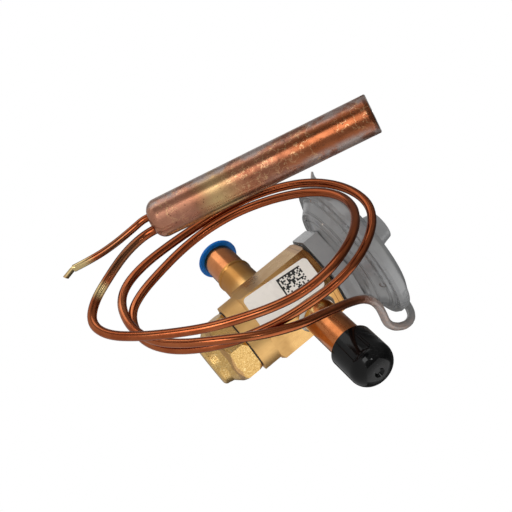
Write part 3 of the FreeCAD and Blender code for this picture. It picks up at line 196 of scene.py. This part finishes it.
class Paint:
    """A node material, with short calls for the patterns that the finishes share."""

    def __init__(self, name, metallic=0.0):
        self.material = bpy.data.materials.new(name)
        self.material.use_nodes = True
        self.tree = self.material.node_tree
        self.tree.nodes.clear()
        self.shader = self.tree.nodes.new("ShaderNodeBsdfPrincipled")
        self.output = self.tree.nodes.new("ShaderNodeOutputMaterial")
        self.tree.links.new(self.shader.outputs[0], self.output.inputs[0])
        self.set("Metallic", metallic)
        coordinates = self.tree.nodes.new("ShaderNodeTexCoord")
        self.place = coordinates.outputs["Object"]
        self.normal = coordinates.outputs["Normal"]

    def set(self, socket, item):
        self.feed(self.shader.inputs[socket], item)

    def feed(self, socket, item):
        """Links an output to a socket, or sets the socket to a constant."""
        if isinstance(item, bpy.types.NodeSocket):
            self.tree.links.new(item, socket)
        elif isinstance(item, tuple) and len(item) == 3 and socket.type == "RGBA":
            socket.default_value = (*item, 1)
        elif item is not None:
            socket.default_value = item

    def math(self, operation, first, second=None):
        node = self.tree.nodes.new("ShaderNodeMath")
        node.operation = operation
        for socket, item in zip(node.inputs, (first, second)):
            self.feed(socket, item)
        return node.outputs[0]

    def times(self, *items):
        product = items[0]
        for item in items[1:]:
            product = self.math("MULTIPLY", product, item)
        return product

    def less(self, item):
        """What a value between 0 and 1 leaves of 1."""
        return self.math("SUBTRACT", 1.0, item)

    def vector(self, operation, first, second):
        node = self.tree.nodes.new("ShaderNodeVectorMath")
        node.operation = operation
        self.feed(node.inputs[0], first)
        self.feed(node.inputs[1], second)
        measured = operation in ("DISTANCE", "DOT_PRODUCT")
        return node.outputs["Value" if measured else "Vector"]

    def stretched(self, scale, origin=(0, 0, 0)):
        """The place, less a point and stretched, for a pattern that runs one way."""
        mapping = self.tree.nodes.new("ShaderNodeMapping")
        self.feed(mapping.inputs["Vector"], self.vector("SUBTRACT", self.place, origin))
        mapping.inputs["Scale"].default_value = scale
        return mapping.outputs[0]

    def axes(self, vector):
        node = self.tree.nodes.new("ShaderNodeSeparateXYZ")
        self.feed(node.inputs[0], vector)
        return node.outputs

    def noise(self, scale, detail, roughness, vector=None, distortion=0.0):
        node = self.tree.nodes.new("ShaderNodeTexNoise")
        self.feed(node.inputs["Vector"], vector or self.place)
        node.inputs["Scale"].default_value = scale
        node.inputs["Detail"].default_value = detail
        node.inputs["Roughness"].default_value = roughness
        node.inputs["Distortion"].default_value = distortion
        return node.outputs[0]

    def ramp(self, pattern, stops):
        """Greys along a pattern: stops are (position, grey)."""
        node = self.tree.nodes.new("ShaderNodeValToRGB")
        band = node.color_ramp
        while len(band.elements) < len(stops):
            band.elements.new(0.5)
        for element, (position, grey) in zip(band.elements, stops):
            element.position = position
            element.color = (grey, grey, grey, 1)
        self.feed(node.inputs[0], pattern)
        return node.outputs[0]

    def fade(self, pattern, low, high, first=0.0, last=1.0):
        """A grey that goes evenly from first to last while a pattern goes from low to high."""
        return self.ramp(pattern, [(low, first), (high, last)])

    def smooth(self, item, low, high, first=0.0, last=1.0):
        """A value that goes gently from first to last while another goes from low to high."""
        node = self.tree.nodes.new("ShaderNodeMapRange")
        node.interpolation_type = "SMOOTHSTEP"
        for socket, given in zip(node.inputs, (item, low, high, first, last)):
            self.feed(socket, given)
        return node.outputs[0]

    def band(self, item, low, high, soft):
        """1 between two values and 0 outside them, with soft edges."""
        rise = self.smooth(item, low - soft, low + soft)
        fall = self.smooth(item, high - soft, high + soft, 1.0, 0.0)
        return self.times(rise, fall)

    def near(self, point, inner, outer):
        """1 inside a ball round a point, falling to 0 at the outer radius."""
        return self.smooth(self.vector("DISTANCE", self.place, point), inner, outer, 1.0, 0.0)

    def along(self, point, axis):
        """How far a place lies from a point, measured along an axis, in metres."""
        return self.vector("DOT_PRODUCT", self.vector("SUBTRACT", self.place, point), axis)

    def from_axis(self, foot=(0, 0, 0)):
        """How far a place lies from the upright line through a point, in metres."""
        x, y, _ = self.axes(self.vector("SUBTRACT", self.place, foot))
        return self.math("SQRT", self.math("ADD", self.times(x, x), self.times(y, y)))

    def mix(self, share, first, second):
        node = self.tree.nodes.new("ShaderNodeMix")
        node.data_type = "RGBA"
        self.feed(node.inputs["Factor"], share)
        self.feed(node.inputs["A"], first)
        self.feed(node.inputs["B"], second)
        return node.outputs["Result"]

    def cover(self, tone, color, where, strength=1.0):
        """A tone with a colour laid over it where a mask says, at most at a strength."""
        share = where if strength == 1.0 else self.times(where, strength)
        return self.mix(share, tone, color)

    def bump(self, height, strength, depth, after=None):
        node = self.tree.nodes.new("ShaderNodeBump")
        node.inputs["Strength"].default_value = strength
        node.inputs["Distance"].default_value = depth
        self.feed(node.inputs["Height"], height)
        self.feed(node.inputs["Normal"], after)
        self.set("Normal", node.outputs[0])
        return node.outputs[0]


# Pattern scales that run one way: rings along the axis, lines up the flats, lines along a tube

TURNED_RINGS = (30, 30, 5200)
MILLED_LINES = (1500, 1500, 60)
DRAWN_LINES = (60, 1800, 1800)
FINE_GRAIN = (900, 900, 900)


def brass(name, light, dark):
    """Turned and milled brass: fine rings on turned faces, faint lines on the flats."""
    paint = Paint(name, metallic=1.0)
    slope = paint.math("ABSOLUTE", paint.axes(paint.normal)[2])
    turned = paint.smooth(slope, 0.08, 0.25)
    rings = paint.noise(1, 2, 0.6, paint.stretched(TURNED_RINGS, AXIS_FOOT))
    milled = paint.noise(1, 2, 0.6, paint.stretched(MILLED_LINES, AXIS_FOOT))
    marks = paint.mix(turned, milled, rings)
    blotch = paint.noise(scale=70, detail=4, roughness=0.6)
    nicks = paint.noise(scale=260, detail=5, roughness=0.7)
    tone = paint.mix(paint.fade(blotch, 0.35, 0.75, last=0.6), light, dark)
    tone = paint.cover(tone, dark, paint.fade(marks, 0.5, 0.8, last=0.18))
    tone = paint.cover(tone, dark, paint.fade(nicks, 0.66, 0.72, last=0.5))
    return paint, tone, marks, blotch


def make_body_brass():
    """Brass with a darker copper-brown tone on the spigot, partly painted shade, and painted shade
    below the collar.
    """
    light = (0.76, 0.47, 0.18)
    dark = (0.52, 0.27, 0.085)
    spigot_tone_and_shade = (0.46, 0.20, 0.045)
    collar_painted_shade = (0.40, 0.16, 0.035)
    seam_brown = (0.16, 0.06, 0.015)
    paint, tone, marks, blotch = brass("body_brass", light, dark)
    # The spigot's copper-brown tone is partly its own colour and partly painted shade.
    spigot = paint.smooth(paint.along(AXIS_FOOT, (-1, 0, 0)), *SPIGOT_REACH)
    tone = paint.cover(tone, spigot_tone_and_shade, spigot, strength=0.85)
    # Painted shade: a darker brown band just below the collar.
    below = paint.along(COLLAR_SEAM, (0, 0, 1))
    shaded = paint.band(below, *BELOW_COLLAR, soft=0.0006)
    tone = paint.cover(tone, collar_painted_shade, shaded, strength=0.55)
    for height in COLLAR_SEAM_HEIGHTS:
        seam = paint.band(below, height - COLLAR_SEAM_HALF, height + COLLAR_SEAM_HALF, soft=0.00008)
        tone = paint.cover(tone, seam_brown, seam, strength=0.8)
    paint.set("Base Color", tone)
    sawn = paint.smooth(paint.axes(paint.place)[2], *SAWN_HEIGHTS, first=0.20, last=0.0)
    worn = paint.smooth(blotch, 0.35, 0.7, first=0.22, last=0.34)
    paint.set("Roughness", paint.math("ADD", sawn, worn))
    paint.bump(marks, strength=0.18, depth=0.00005)
    return paint


def make_cap_brass():
    """Gritty forged brass with bright and dark specks and a worn, wavy shoulder."""
    light = (0.78, 0.50, 0.18)
    dark = (0.54, 0.31, 0.09)
    dark_speck = (0.42, 0.24, 0.06)
    bright_speck = (0.98, 0.80, 0.42)
    worn_brown = (0.40, 0.22, 0.10)
    paint, tone, marks, _ = brass("cap_brass", light, dark)
    grit = paint.noise(scale=2300, detail=3, roughness=0.7)
    tone = paint.cover(tone, dark_speck, paint.fade(grit, 0.52, 0.66, last=0.7))
    tone = paint.cover(tone, bright_speck, paint.fade(grit, 0.34, 0.44, first=0.8, last=0.0))
    wave = paint.noise(scale=220, detail=3, roughness=0.6)
    wander = paint.times(paint.math("SUBTRACT", wave, 0.5), 0.0022)
    height = paint.math("ADD", paint.axes(paint.place)[2], wander)
    worn = paint.band(height, CAP_SHOULDER - 0.0009, CAP_SHOULDER + 0.0008, soft=0.00015)
    paint.set("Base Color", paint.cover(tone, worn_brown, worn, strength=0.75))
    paint.set("Roughness", paint.smooth(grit, 0.3, 0.7, first=0.24, last=0.42))
    paint.bump(paint.math("ADD", grit, marks), strength=0.55, depth=0.00009)
    return paint


def shade(color, share):
    """A colour at a share of its brightness."""
    return tuple(channel * share for channel in color)


def make_plain_metal(name, color, roughness):
    """Metal with a fine grain, for the small and the hidden pieces."""
    paint = Paint(name, metallic=1.0)
    grain = paint.noise(1, 3, 0.6, paint.stretched(FINE_GRAIN))
    dark = paint.fade(grain, 0.35, 0.7, last=0.5)
    paint.set("Base Color", paint.mix(dark, color, shade(color, 0.7)))
    paint.set("Roughness", roughness)
    paint.bump(grain, strength=0.2, depth=0.00005)
    return paint


def make_stub_copper():
    """Drawn copper stubs, with solder and a heat mark where the outlet is brazed in, and a painted
    highlight by the mouth.
    """
    bright = (0.64, 0.23, 0.080)
    dull = (0.46, 0.140, 0.042)
    flame_brown = (0.30, 0.10, 0.03)
    solder_gold = (0.80, 0.62, 0.25)
    mouth_highlight_pink = (0.80, 0.42, 0.20)
    pore_brown = (0.12, 0.04, 0.02)
    paint = Paint("stub_copper", metallic=1.0)
    reach = paint.axes(paint.place)[0]
    drawn = paint.noise(1, 3, 0.6, paint.stretched(DRAWN_LINES))
    blotch = paint.noise(scale=140, detail=4, roughness=0.6)
    splash = paint.noise(scale=240, detail=3, roughness=0.6)
    pores = paint.noise(scale=900, detail=3, roughness=0.65)
    tone = paint.mix(paint.fade(blotch, 0.35, 0.7), bright, dull)
    flame = paint.band(reach, *STUB_FLAME, soft=0.004)
    tone = paint.cover(tone, flame_brown, flame, strength=0.5)
    solder = paint.band(reach, *STUB_SOLDER, soft=0.0015)
    tone = paint.cover(tone, solder_gold, paint.times(solder, paint.fade(splash, 0.5, 0.56, last=0.8)))
    # Painted highlight: paler pink near the mouth.
    mouth = paint.band(reach, *STUB_MOUTH, soft=0.0008)
    tone = paint.cover(tone, mouth_highlight_pink, mouth, strength=0.12)
    tone = paint.cover(tone, pore_brown, paint.fade(pores, 0.66, 0.72, last=0.7))
    paint.set("Base Color", tone)
    paint.set("Roughness", paint.smooth(blotch, 0.3, 0.7, first=0.15, last=0.26))
    paint.bump(drawn, strength=0.03, depth=0.00004)
    return paint


def make_capillary_copper():
    """Drawn copper tube: heat tints at the bulb, grey overspray by the element, painted shade on the
    upper strands.
    """
    bright = (0.47, 0.150, 0.058)
    dull = (0.30, 0.070, 0.024)
    upper_strand_shade = (0.25, 0.060, 0.020)
    soot_brown = (0.17, 0.075, 0.035)
    straw_tint = (0.62, 0.50, 0.24)
    thin_spray = (0.24, 0.215, 0.205)
    bare_speck = (0.34, 0.25, 0.21)
    full_spray = (0.235, 0.235, 0.23)
    paint = Paint("capillary_copper")
    blotch = paint.noise(scale=60, detail=4, roughness=0.6)
    tone = paint.mix(paint.fade(blotch, 0.35, 0.65), bright, dull)
    # Painted shade: strands high in the view, away from the overspray, are darker brown.
    upper = paint.smooth(paint.along(SPRAY_MIDDLE, UP), -0.012, 0.012)
    far = paint.less(paint.near(SPRAY_MIDDLE, inner=0.042, outer=0.052))
    tone = paint.cover(tone, upper_strand_shade, paint.times(upper, far), strength=0.75)
    sooted = paint.near(CAPILLARY_SOOT, inner=0.004, outer=0.0105)
    tone = paint.cover(tone, soot_brown, sooted, strength=0.8)
    tinted = paint.math("MAXIMUM", paint.near(CAPILLARY_TINT, inner=0.0012, outer=0.0042),
                        paint.near(FILL_END, inner=0.0025, outer=0.0075))
    tone = paint.cover(tone, straw_tint, tinted, strength=0.8)
    speck = paint.fade(paint.noise(scale=650, detail=4, roughness=0.7), 0.40, 0.60)
    spray = paint.near(SPRAY_MIDDLE, inner=0.030, outer=0.049)
    sprayed = paint.math("MINIMUM", paint.times(spray, paint.math("ADD", spray, speck)), 1.0)
    full = paint.near(BOSS_SIDE, inner=0.024, outer=0.034)
    lacquer = paint.mix(full, paint.mix(speck, thin_spray, bare_speck), full_spray)
    paint.set("Base Color", paint.mix(sprayed, tone, lacquer))
    paint.set("Metallic", paint.less(paint.times(sprayed, 0.85)))
    paint.set("Roughness", paint.smooth(blotch, 0.3, 0.7, first=0.13, last=0.22))
    paint.bump(paint.times(sprayed, speck), strength=0.12, depth=0.00003)
    return paint


def make_bulb_copper():
    """Flame-marked copper: patches of tarnish, partly a painted reflection along both sides, a golden
    band, pores and pale scratches.
    """
    bright = (0.44, 0.170, 0.082)
    dull = (0.21, 0.055, 0.021)
    brown = (0.34, 0.18, 0.12)
    far_brown = (0.25, 0.072, 0.026)
    gold = (0.56, 0.40, 0.18)
    pink = (0.52, 0.25, 0.17)
    tarnish_and_sheen_grey = (0.255, 0.195, 0.175)
    scratch_gold = (0.72, 0.46, 0.24)
    pore_brown = (0.12, 0.05, 0.03)
    disc_silver = (0.72, 0.66, 0.62)
    paint = Paint("bulb_copper")
    reach = paint.along(BULB_FOOT, BULB_AXIS)
    over = paint.along(BULB_FOOT, BULB_OVER)
    blotch = paint.noise(scale=120, detail=5, roughness=0.62, distortion=0.5)
    broad = paint.noise(scale=42, detail=3, roughness=0.5)
    tone = paint.mix(paint.fade(blotch, 0.40, 0.60), bright, dull)
    tone = paint.cover(tone, brown, paint.fade(broad, 0.42, 0.62, last=0.5))
    far = paint.smooth(reach, *BULB_DARKENS)
    tone = paint.cover(tone, far_brown, far, strength=0.8)
    uneven = paint.math("ADD", reach, paint.times(blotch, 0.010))
    golden = paint.times(paint.band(uneven, *BULB_GOLD, soft=0.004),
                         paint.fade(broad, 0.35, 0.6, first=0.4))
    tone = paint.cover(tone, gold, golden, strength=0.8)
    tone = paint.cover(tone, pink, paint.band(reach, *BULB_PINK, soft=0.004), strength=0.5)
    # Grey along the high and low sides: partly real tarnish and partly a painted reflection of the
    # pale room.
    low_side = paint.times(paint.smooth(over, *BULB_LOW_SIDE, first=1.0, last=0.0), far)
    sides = paint.math("MAXIMUM", paint.smooth(over, *BULB_HIGH_SIDE), low_side)
    clouds = paint.noise(scale=170, detail=5, roughness=0.65)
    tarnish_and_sheen = paint.times(sides, paint.fade(clouds, 0.40, 0.54, first=0.25))
    tone = paint.cover(tone, tarnish_and_sheen_grey, tarnish_and_sheen)
    paint.set("Metallic", paint.less(paint.times(tarnish_and_sheen, 0.6)))
    lines = paint.noise(scale=300, detail=3, roughness=0.6)
    ridges = paint.math("ABSOLUTE", paint.math("SUBTRACT", lines, 0.5))
    here = paint.fade(paint.noise(scale=95, detail=2, roughness=0.5), 0.46, 0.56)
    scratch = paint.times(paint.fade(ridges, 0.0, 0.020, first=1.0, last=0.0), here)
    tone = paint.cover(tone, scratch_gold, scratch, strength=0.6)
    pores = paint.fade(paint.noise(scale=1000, detail=2, roughness=0.6), 0.66, 0.72, last=0.8)
    tone = paint.cover(tone, pore_brown, pores)
    tone = paint.cover(tone, disc_silver, paint.smooth(reach, *BULB_DISC))
    paint.set("Base Color", tone)
    paint.set("Roughness", paint.smooth(blotch, 0.3, 0.7, first=0.19, last=0.32))
    lip = paint.smooth(reach, *BULB_LIP, first=1.0, last=0.0)
    bead = paint.bump(lip, strength=1.0, depth=0.0009)
    pitted = paint.math("SUBTRACT", paint.times(blotch, 0.6), pores)
    paint.bump(pitted, strength=0.3, depth=0.00012, after=bead)
    return paint


def make_element_grey():
    """Glossy grey lacquer with fine orange peel, dust, chips and a rust-brown curl."""
    dark = (0.228, 0.231, 0.235)
    dusty = (0.290, 0.288, 0.284)
    curl_brown = (0.065, 0.025, 0.012)
    paint = Paint("element_grey")
    peel = paint.noise(scale=620, detail=2, roughness=0.5)
    dust = paint.noise(scale=80, detail=5, roughness=0.65)
    chips = paint.noise(scale=900, detail=3, roughness=0.6)
    tone = paint.mix(paint.fade(dust, 0.35, 0.7), dark, dusty)
    for place, inner, outer, color in ELEMENT_MARKS:
        spot = paint.times(paint.near(place, inner, outer), paint.math("ADD", chips, 0.5))
        tone = paint.cover(tone, color, paint.math("MINIMUM", spot, 1.0))
    from_curl = paint.vector("DISTANCE", paint.place, ELEMENT_CURL)
    broken = paint.fade(paint.noise(scale=600, detail=2, roughness=0.5), 0.4, 0.55, first=0.2)
    curl = paint.times(paint.band(from_curl, *ELEMENT_CURL_RADII, soft=0.0002), broken)
    paint.set("Base Color", paint.cover(tone, curl_brown, curl))
    paint.set("Roughness", paint.smooth(dust, 0.3, 0.7, first=0.24, last=0.4))
    paint.set("Coat Weight", 0.6)
    paint.set("Coat Roughness", 0.07)
    radius = paint.from_axis(AXIS_FOOT)
    pressed = [paint.band(radius, groove - GROOVE_HALF, groove + GROOVE_HALF, soft=0.00012)
               for groove in ELEMENT_GROOVES]
    grooves = pressed[0]
    for groove in pressed[1:]:
        grooves = paint.math("ADD", grooves, groove)
    paint.bump(peel, strength=0.12, depth=0.0001,
               after=paint.bump(grooves, strength=1.0, depth=0.0005))
    return paint


def make_plastic(name, color, roughness, relief=0.1, gloss=0.5):
    """Moulded plastic or rubber with a slight grain."""
    paint = Paint(name)
    grain = paint.noise(scale=260, detail=3, roughness=0.5)
    paint.set("Base Color", paint.mix(paint.fade(grain, 0.35, 0.7), color, shade(color, 0.8)))
    paint.set("Roughness", paint.smooth(grain, 0.3, 0.7, roughness * 0.85, roughness * 1.2))
    paint.set("Specular IOR Level", gloss)
    paint.bump(grain, relief, depth=0.0002)
    return paint


def make_label_film():
    """Off-white printed film, a little creased and smudged."""
    white = (0.90, 0.845, 0.765)
    smudged = (0.68, 0.635, 0.58)
    paint = Paint("label_white")
    smudge = paint.noise(scale=150, detail=5, roughness=0.65, distortion=0.6)
    paint.set("Base Color", paint.mix(paint.fade(smudge, 0.5, 0.72, last=0.5), white, smudged))
    paint.set("Roughness", paint.smooth(smudge, 0.3, 0.7, first=0.36, last=0.5))
    paint.bump(smudge, strength=0.06, depth=0.0001)
    return paint


FINISHES = {
    "body_brass": make_body_brass(),
    "cap_brass": make_cap_brass(),
    "stub_copper": make_stub_copper(),
    "capillary_copper": make_capillary_copper(),
    "bulb_copper": make_bulb_copper(),
    "element_grey": make_element_grey(),
    "inner_steel": make_plain_metal("inner_steel", (0.60, 0.60, 0.60), roughness=0.3),
    "braze_silver": make_plain_metal("braze_silver", (0.72, 0.68, 0.60), roughness=0.3),
    "plug_blue": make_plastic("plug_blue", (0.002, 0.14, 0.50), 0.35, relief=0.02, gloss=0.15),
    "vinyl_black": make_plastic("vinyl_black", (0.003, 0.003, 0.003), 0.10, relief=0.03, gloss=0.2),
    "label_white": make_label_film(),
    "gasket_dark": make_plastic("gasket_dark", (0.03, 0.028, 0.026), 0.7),
}


def dress_frame():
    """Gives each node of the frame the finish of its material slot."""
    for part in frame["record"]["subparts"]:
        if part["node"] in nodes:
            materials = nodes[part["node"]].data.materials
            materials.clear()
            materials.append(FINISHES[part["material_slot"]].material)


dress_frame()
capillary.data.materials.append(FINISHES["capillary_copper"].material)


def mesh_piece(name, maker, paint):
    """A mesh object from a finished bmesh, with its material."""
    mesh = bpy.data.meshes.new(name)
    maker.to_mesh(mesh)
    maker.free()
    mesh.materials.append(paint.material)
    return add_object(name, mesh)


def ring_of(maker, middle, across, half_width, upward, half_height, sides):
    """Points on an oval round a middle, with two directions and half a size along each."""
    turns = [math.tau * side / sides for side in range(sides)]
    return [maker.verts.new(middle + across * (half_width * math.cos(turn))
                            + upward * (half_height * math.sin(turn)))
            for turn in turns]


def skin(maker, rings):
    """A closed surface over rings of points, each with as many."""
    sides = len(rings[0])
    for before, after in zip(rings, rings[1:]):
        for side in range(sides):
            beyond = (side + 1) % sides
            maker.faces.new((before[side], before[beyond], after[beyond], after[side]))
    maker.faces.new(rings[0][::-1])
    maker.faces.new(rings[-1])
    bmesh.ops.recalc_face_normals(maker, faces=maker.faces)


# Printed block on the label: squares in rows and columns, in no code's order

PRINT_OUTWARD = (0.5, -0.866, 0.0)
PRINT_ACROSS = (0.866, 0.5, 0.0)
PRINT_CORNER = (0.04233, -0.01442, 0.00707)
PRINT_SIDE = 0.0095
PRINT_CELLS = 17
PRINT_SHARE = 0.5
PRINT_TILT = 6.0
PRINT_LIFT = 0.00006
PRINT_SEED = 5
SAME_POINT = 1e-6


def make_label_print():
    """Squares of ink on the film, tilted a little, with two solid edges."""
    outward = Vector(PRINT_OUTWARD).normalized()
    across = Vector(PRINT_ACROSS).normalized()
    upward = Vector((0, 0, 1))
    tilt = math.radians(PRINT_TILT)
    column = upward * math.cos(tilt) + across * math.sin(tilt)
    row = across * math.cos(tilt) - upward * math.sin(tilt)
    corner = Vector(PRINT_CORNER) + outward * PRINT_LIFT
    cell = PRINT_SIDE / PRINT_CELLS
    pick = random.Random(PRINT_SEED)
    maker = bmesh.new()
    for across_count in range(PRINT_CELLS):
        for up_count in range(PRINT_CELLS):
            if pick.random() < PRINT_SHARE or 0 in (across_count, up_count):
                start = corner + row * cell * across_count + column * cell * up_count
                square = (start, start + row * cell, start + (row + column) * cell,
                          start + column * cell)
                maker.faces.new([maker.verts.new(point) for point in square])
    bmesh.ops.remove_doubles(maker, verts=maker.verts, dist=SAME_POINT)
    ink = make_plastic("print_ink", (0.012, 0.011, 0.010), 0.5)
    block = mesh_piece("label_print", maker, ink)
    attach(block, "root")


make_label_print()


# Web beside the weld tab. Its rings, in metres: drop below the tip, left and right edge, thickness

TAB_TIP = (0.01687, -0.02078, 0.04425)
TAB_SIDES = 16
TAB_RINGS = [
    (0.00000, -0.00010, 0.00022, 0.0003),
    (0.00091, -0.00020, 0.00077, 0.0005),
    (0.00201, -0.00026, 0.00150, 0.0007),
    (0.00311, -0.00026, 0.00249, 0.0009),
    (0.00420, -0.00022, 0.00347, 0.0012),
    (0.00560, -0.00011, 0.00457, 0.0016),
]


def make_tab_fairing():
    """Torn web that fills the weld tab's side, too ragged for the solid, pale as a painted highlight.
    """
    tip = Vector(TAB_TIP)
    maker = bmesh.new()
    rings = []
    for drop, left, right, thick in TAB_RINGS:
        middle = tip + RIGHT * ((left + right) / 2) - UP * drop
        rings.append(ring_of(maker, middle, RIGHT, (right - left) / 2, BACK, thick / 2, TAB_SIDES))
    skin(maker, rings)
    for face in maker.faces:
        face.smooth = True
    # Painted highlight: the web is pale beige instead of the element's grey.
    pale_web_paint = make_plastic("tab_painted_highlight", (0.52, 0.46, 0.42), 0.45)
    fairing = mesh_piece("tab_fairing", maker, pale_web_paint)
    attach(fairing, "root")


make_tab_fairing()


# Superheat spring, in metres

SPRING_WIRE_RADIUS = 0.00055
SPRING_TURNS = 3
SPRING_STEPS = 32
SPRING_SIDES = 12


def coil_stretch(name, low, high, first, last):
    """A stretch of the spring's coil, from one share of its height to another."""
    foot = low.z + SPRING_WIRE_RADIUS
    rise = high.z - low.z - 2 * SPRING_WIRE_RADIUS
    radius = (high.x - low.x) / 2 - SPRING_WIRE_RADIUS
    steps = round((last - first) * SPRING_TURNS * SPRING_STEPS)
    upward = Vector((0, 0, 1))
    maker = bmesh.new()
    rings = []
    for step in range(steps + 1):
        share = first + (last - first) * step / steps
        turn = math.tau * SPRING_TURNS * share
        outward = Vector((math.cos(turn), math.sin(turn), 0))
        middle = Vector((AXIS_FOOT[0], AXIS_FOOT[1], foot + rise * share)) + outward * radius
        rings.append(ring_of(maker, middle, outward, SPRING_WIRE_RADIUS,
                             upward, SPRING_WIRE_RADIUS, SPRING_SIDES))
    skin(maker, rings)
    for face in maker.faces:
        face.smooth = len(face.verts) == 4
    return mesh_piece(name, maker, FINISHES["inner_steel"])


def make_spring():
    """The spring in two halves, the lower and the upper half of its coil."""
    low, high = (Vector(corner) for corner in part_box("superheat_spring"))
    lower = coil_stretch("spring_lower", low, high, 0.0, 0.5)
    upper = coil_stretch("spring_upper", low, high, 0.5, 1.0)
    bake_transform(lower)
    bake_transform(upper)
    for half in (lower, upper):
        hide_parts("superheat_spring")


make_spring()


# Lamps: metres across, up and back from the middle of the object, watts, width in metres

LAMPS = {
    "key": (-0.24, 0.05, 0.86, 2.7, 0.46),
    "side": (0.58, -0.56, 0.26, 2.9, 1.00),
    "top": (-0.20, 0.80, 0.35, 0.9, 0.50),
    "left": (-0.66, 0.68, 0.04, 1.3, 0.55),
    "left_spark": (-0.64, -0.06, 0.63, 0.2, 0.06),
    "right_spark": (0.33, 0.02, 0.84, 0.2, 0.06),
}


def toward(across, up, back):
    """A way from the object, given along the camera's own directions."""
    return RIGHT * across + UP * up + BACK * back


def make_lamp(name, across, up, back, power, width):
    """A soft square lamp that faces the middle of the object."""
    data = bpy.data.lights.new(name, "AREA")
    data.energy = power
    data.size = width
    place = MIDDLE + toward(across, up, back)
    lamp = add_object(name, data)
    lamp.location = place
    lamp.rotation_euler = (MIDDLE - place).to_track_quat("-Z", "Y").to_euler()


for lamp_name, settings in LAMPS.items():
    make_lamp(lamp_name, *settings)


# Room: white where it is seen, in glass and reflections too, and dimmer where it only lights

ROOM_LIGHT = 0.55
ROOM_SEEN = 1.0


def make_room():
    world = bpy.data.worlds.new("room")
    scene.world = world
    world.use_nodes = True
    tree = world.node_tree
    tree.nodes.clear()
    path = tree.nodes.new("ShaderNodeLightPath")
    seen = path.outputs["Is Camera Ray"]
    for ray in ("Is Transmission Ray", "Is Glossy Ray"):
        either = tree.nodes.new("ShaderNodeMath")
        either.operation = "MAXIMUM"
        tree.links.new(seen, either.inputs[0])
        tree.links.new(path.outputs[ray], either.inputs[1])
        seen = either.outputs[0]
    blend = tree.nodes.new("ShaderNodeMixShader")
    tree.links.new(seen, blend.inputs[0])
    for socket, strength in zip(blend.inputs[1:], (ROOM_LIGHT, ROOM_SEEN)):
        white = tree.nodes.new("ShaderNodeBackground")
        white.inputs["Color"].default_value = (1, 1, 1, 1)
        white.inputs["Strength"].default_value = strength
        tree.links.new(white.outputs[0], socket)
    out = tree.nodes.new("ShaderNodeOutputWorld")
    tree.links.new(blend.outputs[0], out.inputs[0])


make_room()


# Tent: a closed grey ball that only reflections see, paler toward the lamps

TENT_RADIUS = 1.6
TENT_SEGMENTS = 48
TENT_RINGS = 24
TENT_RISE = toward(-0.22, 0.62, 0.50)
TENT_RISE_END = 1.3
TENT_GREYS = [(0.0, 0.10), (0.40, 0.12), (0.62, 0.28), (0.85, 0.52), (1.0, 0.60)]

# Patches of the tent: way from the middle, inner and outer reach in metres, grey

TENT_PATCHES = [
    (toward(-0.28, 0.36, -0.89), 0.35, 0.80, 0.90),
    (toward(0.73, -0.71, 0.00), 0.50, 1.10, 0.65),
    (toward(-0.21, 0.50, 0.85), 0.22, 0.52, 0.04),
]


def make_tent():
    """The tent, bright behind and low on the right, with a dark gap between the lamps."""
    maker = bmesh.new()
    bmesh.ops.create_uvsphere(maker, u_segments=TENT_SEGMENTS, v_segments=TENT_RINGS,
                              radius=TENT_RADIUS)
    paint = Paint("tent")
    height = paint.vector("DOT_PRODUCT", paint.place, TENT_RISE)
    grey = paint.ramp(paint.smooth(height, -TENT_RISE_END, TENT_RISE_END), TENT_GREYS)
    for way, inner, outer, level in TENT_PATCHES:
        patch = paint.near(way.normalized() * TENT_RADIUS, inner, outer)
        grey = paint.cover(grey, (level, level, level), patch)
    paint.set("Base Color", grey)
    paint.set("Roughness", 0.9)
    tent = mesh_piece("tent", maker, paint)
    tent.location = MIDDLE
    tent.visible_camera = False
    tent.visible_diffuse = False
    tent.visible_shadow = False
    tent.visible_transmission = False


make_tent()


# Floor, well below the object, in metres

FLOOR_MIDDLE = (0.04, -0.03, -0.30)
FLOOR_RADIUS = 0.9
FLOOR_SEGMENTS = 96
FLOOR_FADE_START = 0.4
FLOOR_FADE_END = 0.7


def make_floor():
    """Pale round floor, plain white to the eye toward its edge."""
    maker = bmesh.new()
    bmesh.ops.create_circle(maker, cap_ends=True, segments=FLOOR_SEGMENTS, radius=FLOOR_RADIUS)
    paint = Paint("floor")
    paint.set("Base Color", (0.9, 0.9, 0.9))
    paint.set("Roughness", 0.8)
    edge = paint.smooth(paint.from_axis(), FLOOR_RADIUS * FLOOR_FADE_START,
                        FLOOR_RADIUS * FLOOR_FADE_END)
    eye = paint.tree.nodes.new("ShaderNodeLightPath")
    glow = paint.tree.nodes.new("ShaderNodeEmission")
    blended = paint.tree.nodes.new("ShaderNodeMixShader")
    paint.feed(blended.inputs[0], paint.times(edge, eye.outputs["Is Camera Ray"]))
    paint.feed(blended.inputs[1], paint.shader.outputs[0])
    paint.feed(blended.inputs[2], glow.outputs[0])
    paint.feed(paint.output.inputs[0], blended.outputs[0])
    floor = mesh_piece("floor", maker, paint)
    floor.location = FLOOR_MIDDLE


make_floor()

bpy.context.view_layer.update()
